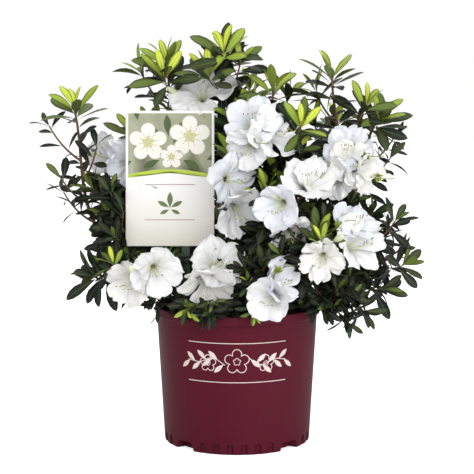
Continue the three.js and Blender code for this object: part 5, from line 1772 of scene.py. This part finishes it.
top = CARD_HEIGHT - PICTURE_MARGIN
side = CARD_WIDTH / 2 - PICTURE_MARGIN
run = np.linspace(side, -side, 24)
swell = PICTURE_LOW + ARCH_RISE * np.cos(run / side * math.pi / 2)
arch = np.stack([run, swell], -1)
picture = np.concatenate([arch[::-1], [[side, top], [-side, top]]])
printed_patch("picture_ground", [picture])
band = np.concatenate([arch[::-1] - [0, BAND_HEIGHT], arch])
printed_patch("picture_band", [band])
outlines = [np.clip(leaf, [-side, PICTURE_LOW + 1], [side, top]) for leaf in leaf_outlines(PICTURE_LEAVES)]
printed_patch("picture_leaves", outlines)
edges, petals, hearts = [], [], []
for x, y, size in PICTURE_BLOSSOMS:
    anticlockwise = blossom_outline(size)[::-1] + [x, y]
    limits = ([-side, PICTURE_LOW + 3], [side, top])
    edges.append(np.clip(anticlockwise, *limits))
    petals.append(np.clip((anticlockwise - [x, y]) * PETAL_SHARE + [x, y], *limits))
    hearts.append(blossom_outline(size * HEART_SHARE)[::-1] + [x, y])
printed_patch("picture_petal_edges", edges)
printed_patch("picture_petals", petals)
printed_patch("picture_hearts", hearts)
strokes = []
for x, y, size in PICTURE_BLOSSOMS:
    for turn in np.linspace(0, 2 * math.pi, THREADS, endpoint=False) + 0.2:
        way = np.array([math.cos(turn), math.sin(turn)])
        share = np.linspace(*THREAD_SHARES, 8)[:, None]
        strokes.append(ink_line(np.array([x, y]) + way * share * size, THREAD_WIDTH))
printed_lines("picture_threads", strokes, (0.3, 0.2, 0.12))

# Ornament under the picture: a sprig between two thin lines.
printed_patch("sprig", leaf_outlines(SPRIG))
run = np.linspace(-SPRIG_HALF, SPRIG_HALF, 30)
lines = [ink_line(np.stack([run, np.full(30, y)], -1), SPRIG_LINE_WIDTH) for y in SPRIG_LINES]
printed_lines("sprig_lines", lines, (0.16, 0.02, 0.03))


# Studio: a pale floor, a white surround, soft lights and the camera at the photograph's angle.
CAMERA_DISTANCE = 2190
CAMERA_HEIGHT = 574
CAMERA_PITCH = 7.5
CAMERA_LENS = 120
FLOOR_HALF = 6000
FLOOR_GLOW = 0.62
SURROUND_LIGHT = 0.58

floor_paint, tree, shader = new_material("studio_floor", (0.9, 0.9, 0.9), 0.7)
coarse, fine = place_grain(tree, 2, 30)
vary_colour(tree, shader, coarse, (0.9, 0.9, 0.9), (0.92, 0.92, 0.92))
floor_mesh = bpy.data.meshes.new("studio_floor")
reach = FLOOR_HALF * METRES
corners = [(-reach, -reach, 0), (reach, -reach, 0), (reach, reach, 0), (-reach, reach, 0)]
floor_mesh.from_pydata(corners, [], [(0, 1, 2, 3)])
floor_mesh.materials.append(floor_paint)
floor = bpy.data.objects.new("studio_floor", floor_mesh)
bpy.context.scene.collection.objects.link(floor)
lit = place_node(tree, "ShaderNodeLightPath").outputs["Is Camera Ray"]
glow = place_node(tree, "ShaderNodeMath", {0: lit, 1: FLOOR_GLOW}, operation="MULTIPLY")
shader.inputs["Emission Color"].default_value = (1, 1, 1, 1)
tree.links.new(glow.outputs[0], shader.inputs["Emission Strength"])
floor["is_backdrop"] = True


def soft_light(name, place, size, power, aim=(0, 0, 300)):
    """A square area light of a size in millimetres, turned to face a point of the shrub."""
    light = bpy.data.lights.new(name, "AREA")
    light.shape, light.size, light.energy = "SQUARE", size * METRES, power
    lamp = bpy.data.objects.new(name, light)
    lamp.location = np.array(place) * METRES
    way = np.array(aim) - np.array(place)
    yaw, pitch = math.atan2(way[1], way[0]) - math.pi / 2, math.atan2(way[2], math.hypot(way[0], way[1]))
    lamp.rotation_euler = (math.pi / 2 + pitch, 0, yaw)
    bpy.context.scene.collection.objects.link(lamp)


soft_light("key_light", (-600, -2150, 1800), 1500, 26)
soft_light("fill_light", (1150, -2100, 1000), 1400, 17)
soft_light("side_light", (1500, -1000, 300), 900, 7, (0, 0, 120))
soft_light("top_light", (100, 300, 2300), 1200, 10)
soft_light("back_light", (-300, 1900, 1500), 1200, 8)

world = bpy.data.worlds.new("studio")
bpy.context.scene.world = world
world.use_nodes = True
tree = world.node_tree
surround = tree.nodes["Background"]
surround.inputs["Color"].default_value = (1, 1, 1, 1)
seen = place_node(tree, "ShaderNodeLightPath").outputs["Is Camera Ray"]
level = place_node(tree, "ShaderNodeMapRange", {"Value": seen, "To Min": SURROUND_LIGHT, "To Max": 1.0})
tree.links.new(level.outputs[0], surround.inputs["Strength"])

lens = bpy.data.cameras.new("photo_camera")
lens.lens = CAMERA_LENS
camera = bpy.data.objects.new("photo_camera", lens)
camera.location = (0, -CAMERA_DISTANCE * METRES, CAMERA_HEIGHT * METRES)
camera.rotation_euler = (math.radians(90 - CAMERA_PITCH), 0, 0)
bpy.context.scene.collection.objects.link(camera)
bpy.context.scene.camera = camera
bpy.context.scene.view_settings.view_transform = "Standard"

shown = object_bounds()
sizes = {"cad": [list(corner) for corner in cad_box], "shown": [list(corner) for corner in shown]}
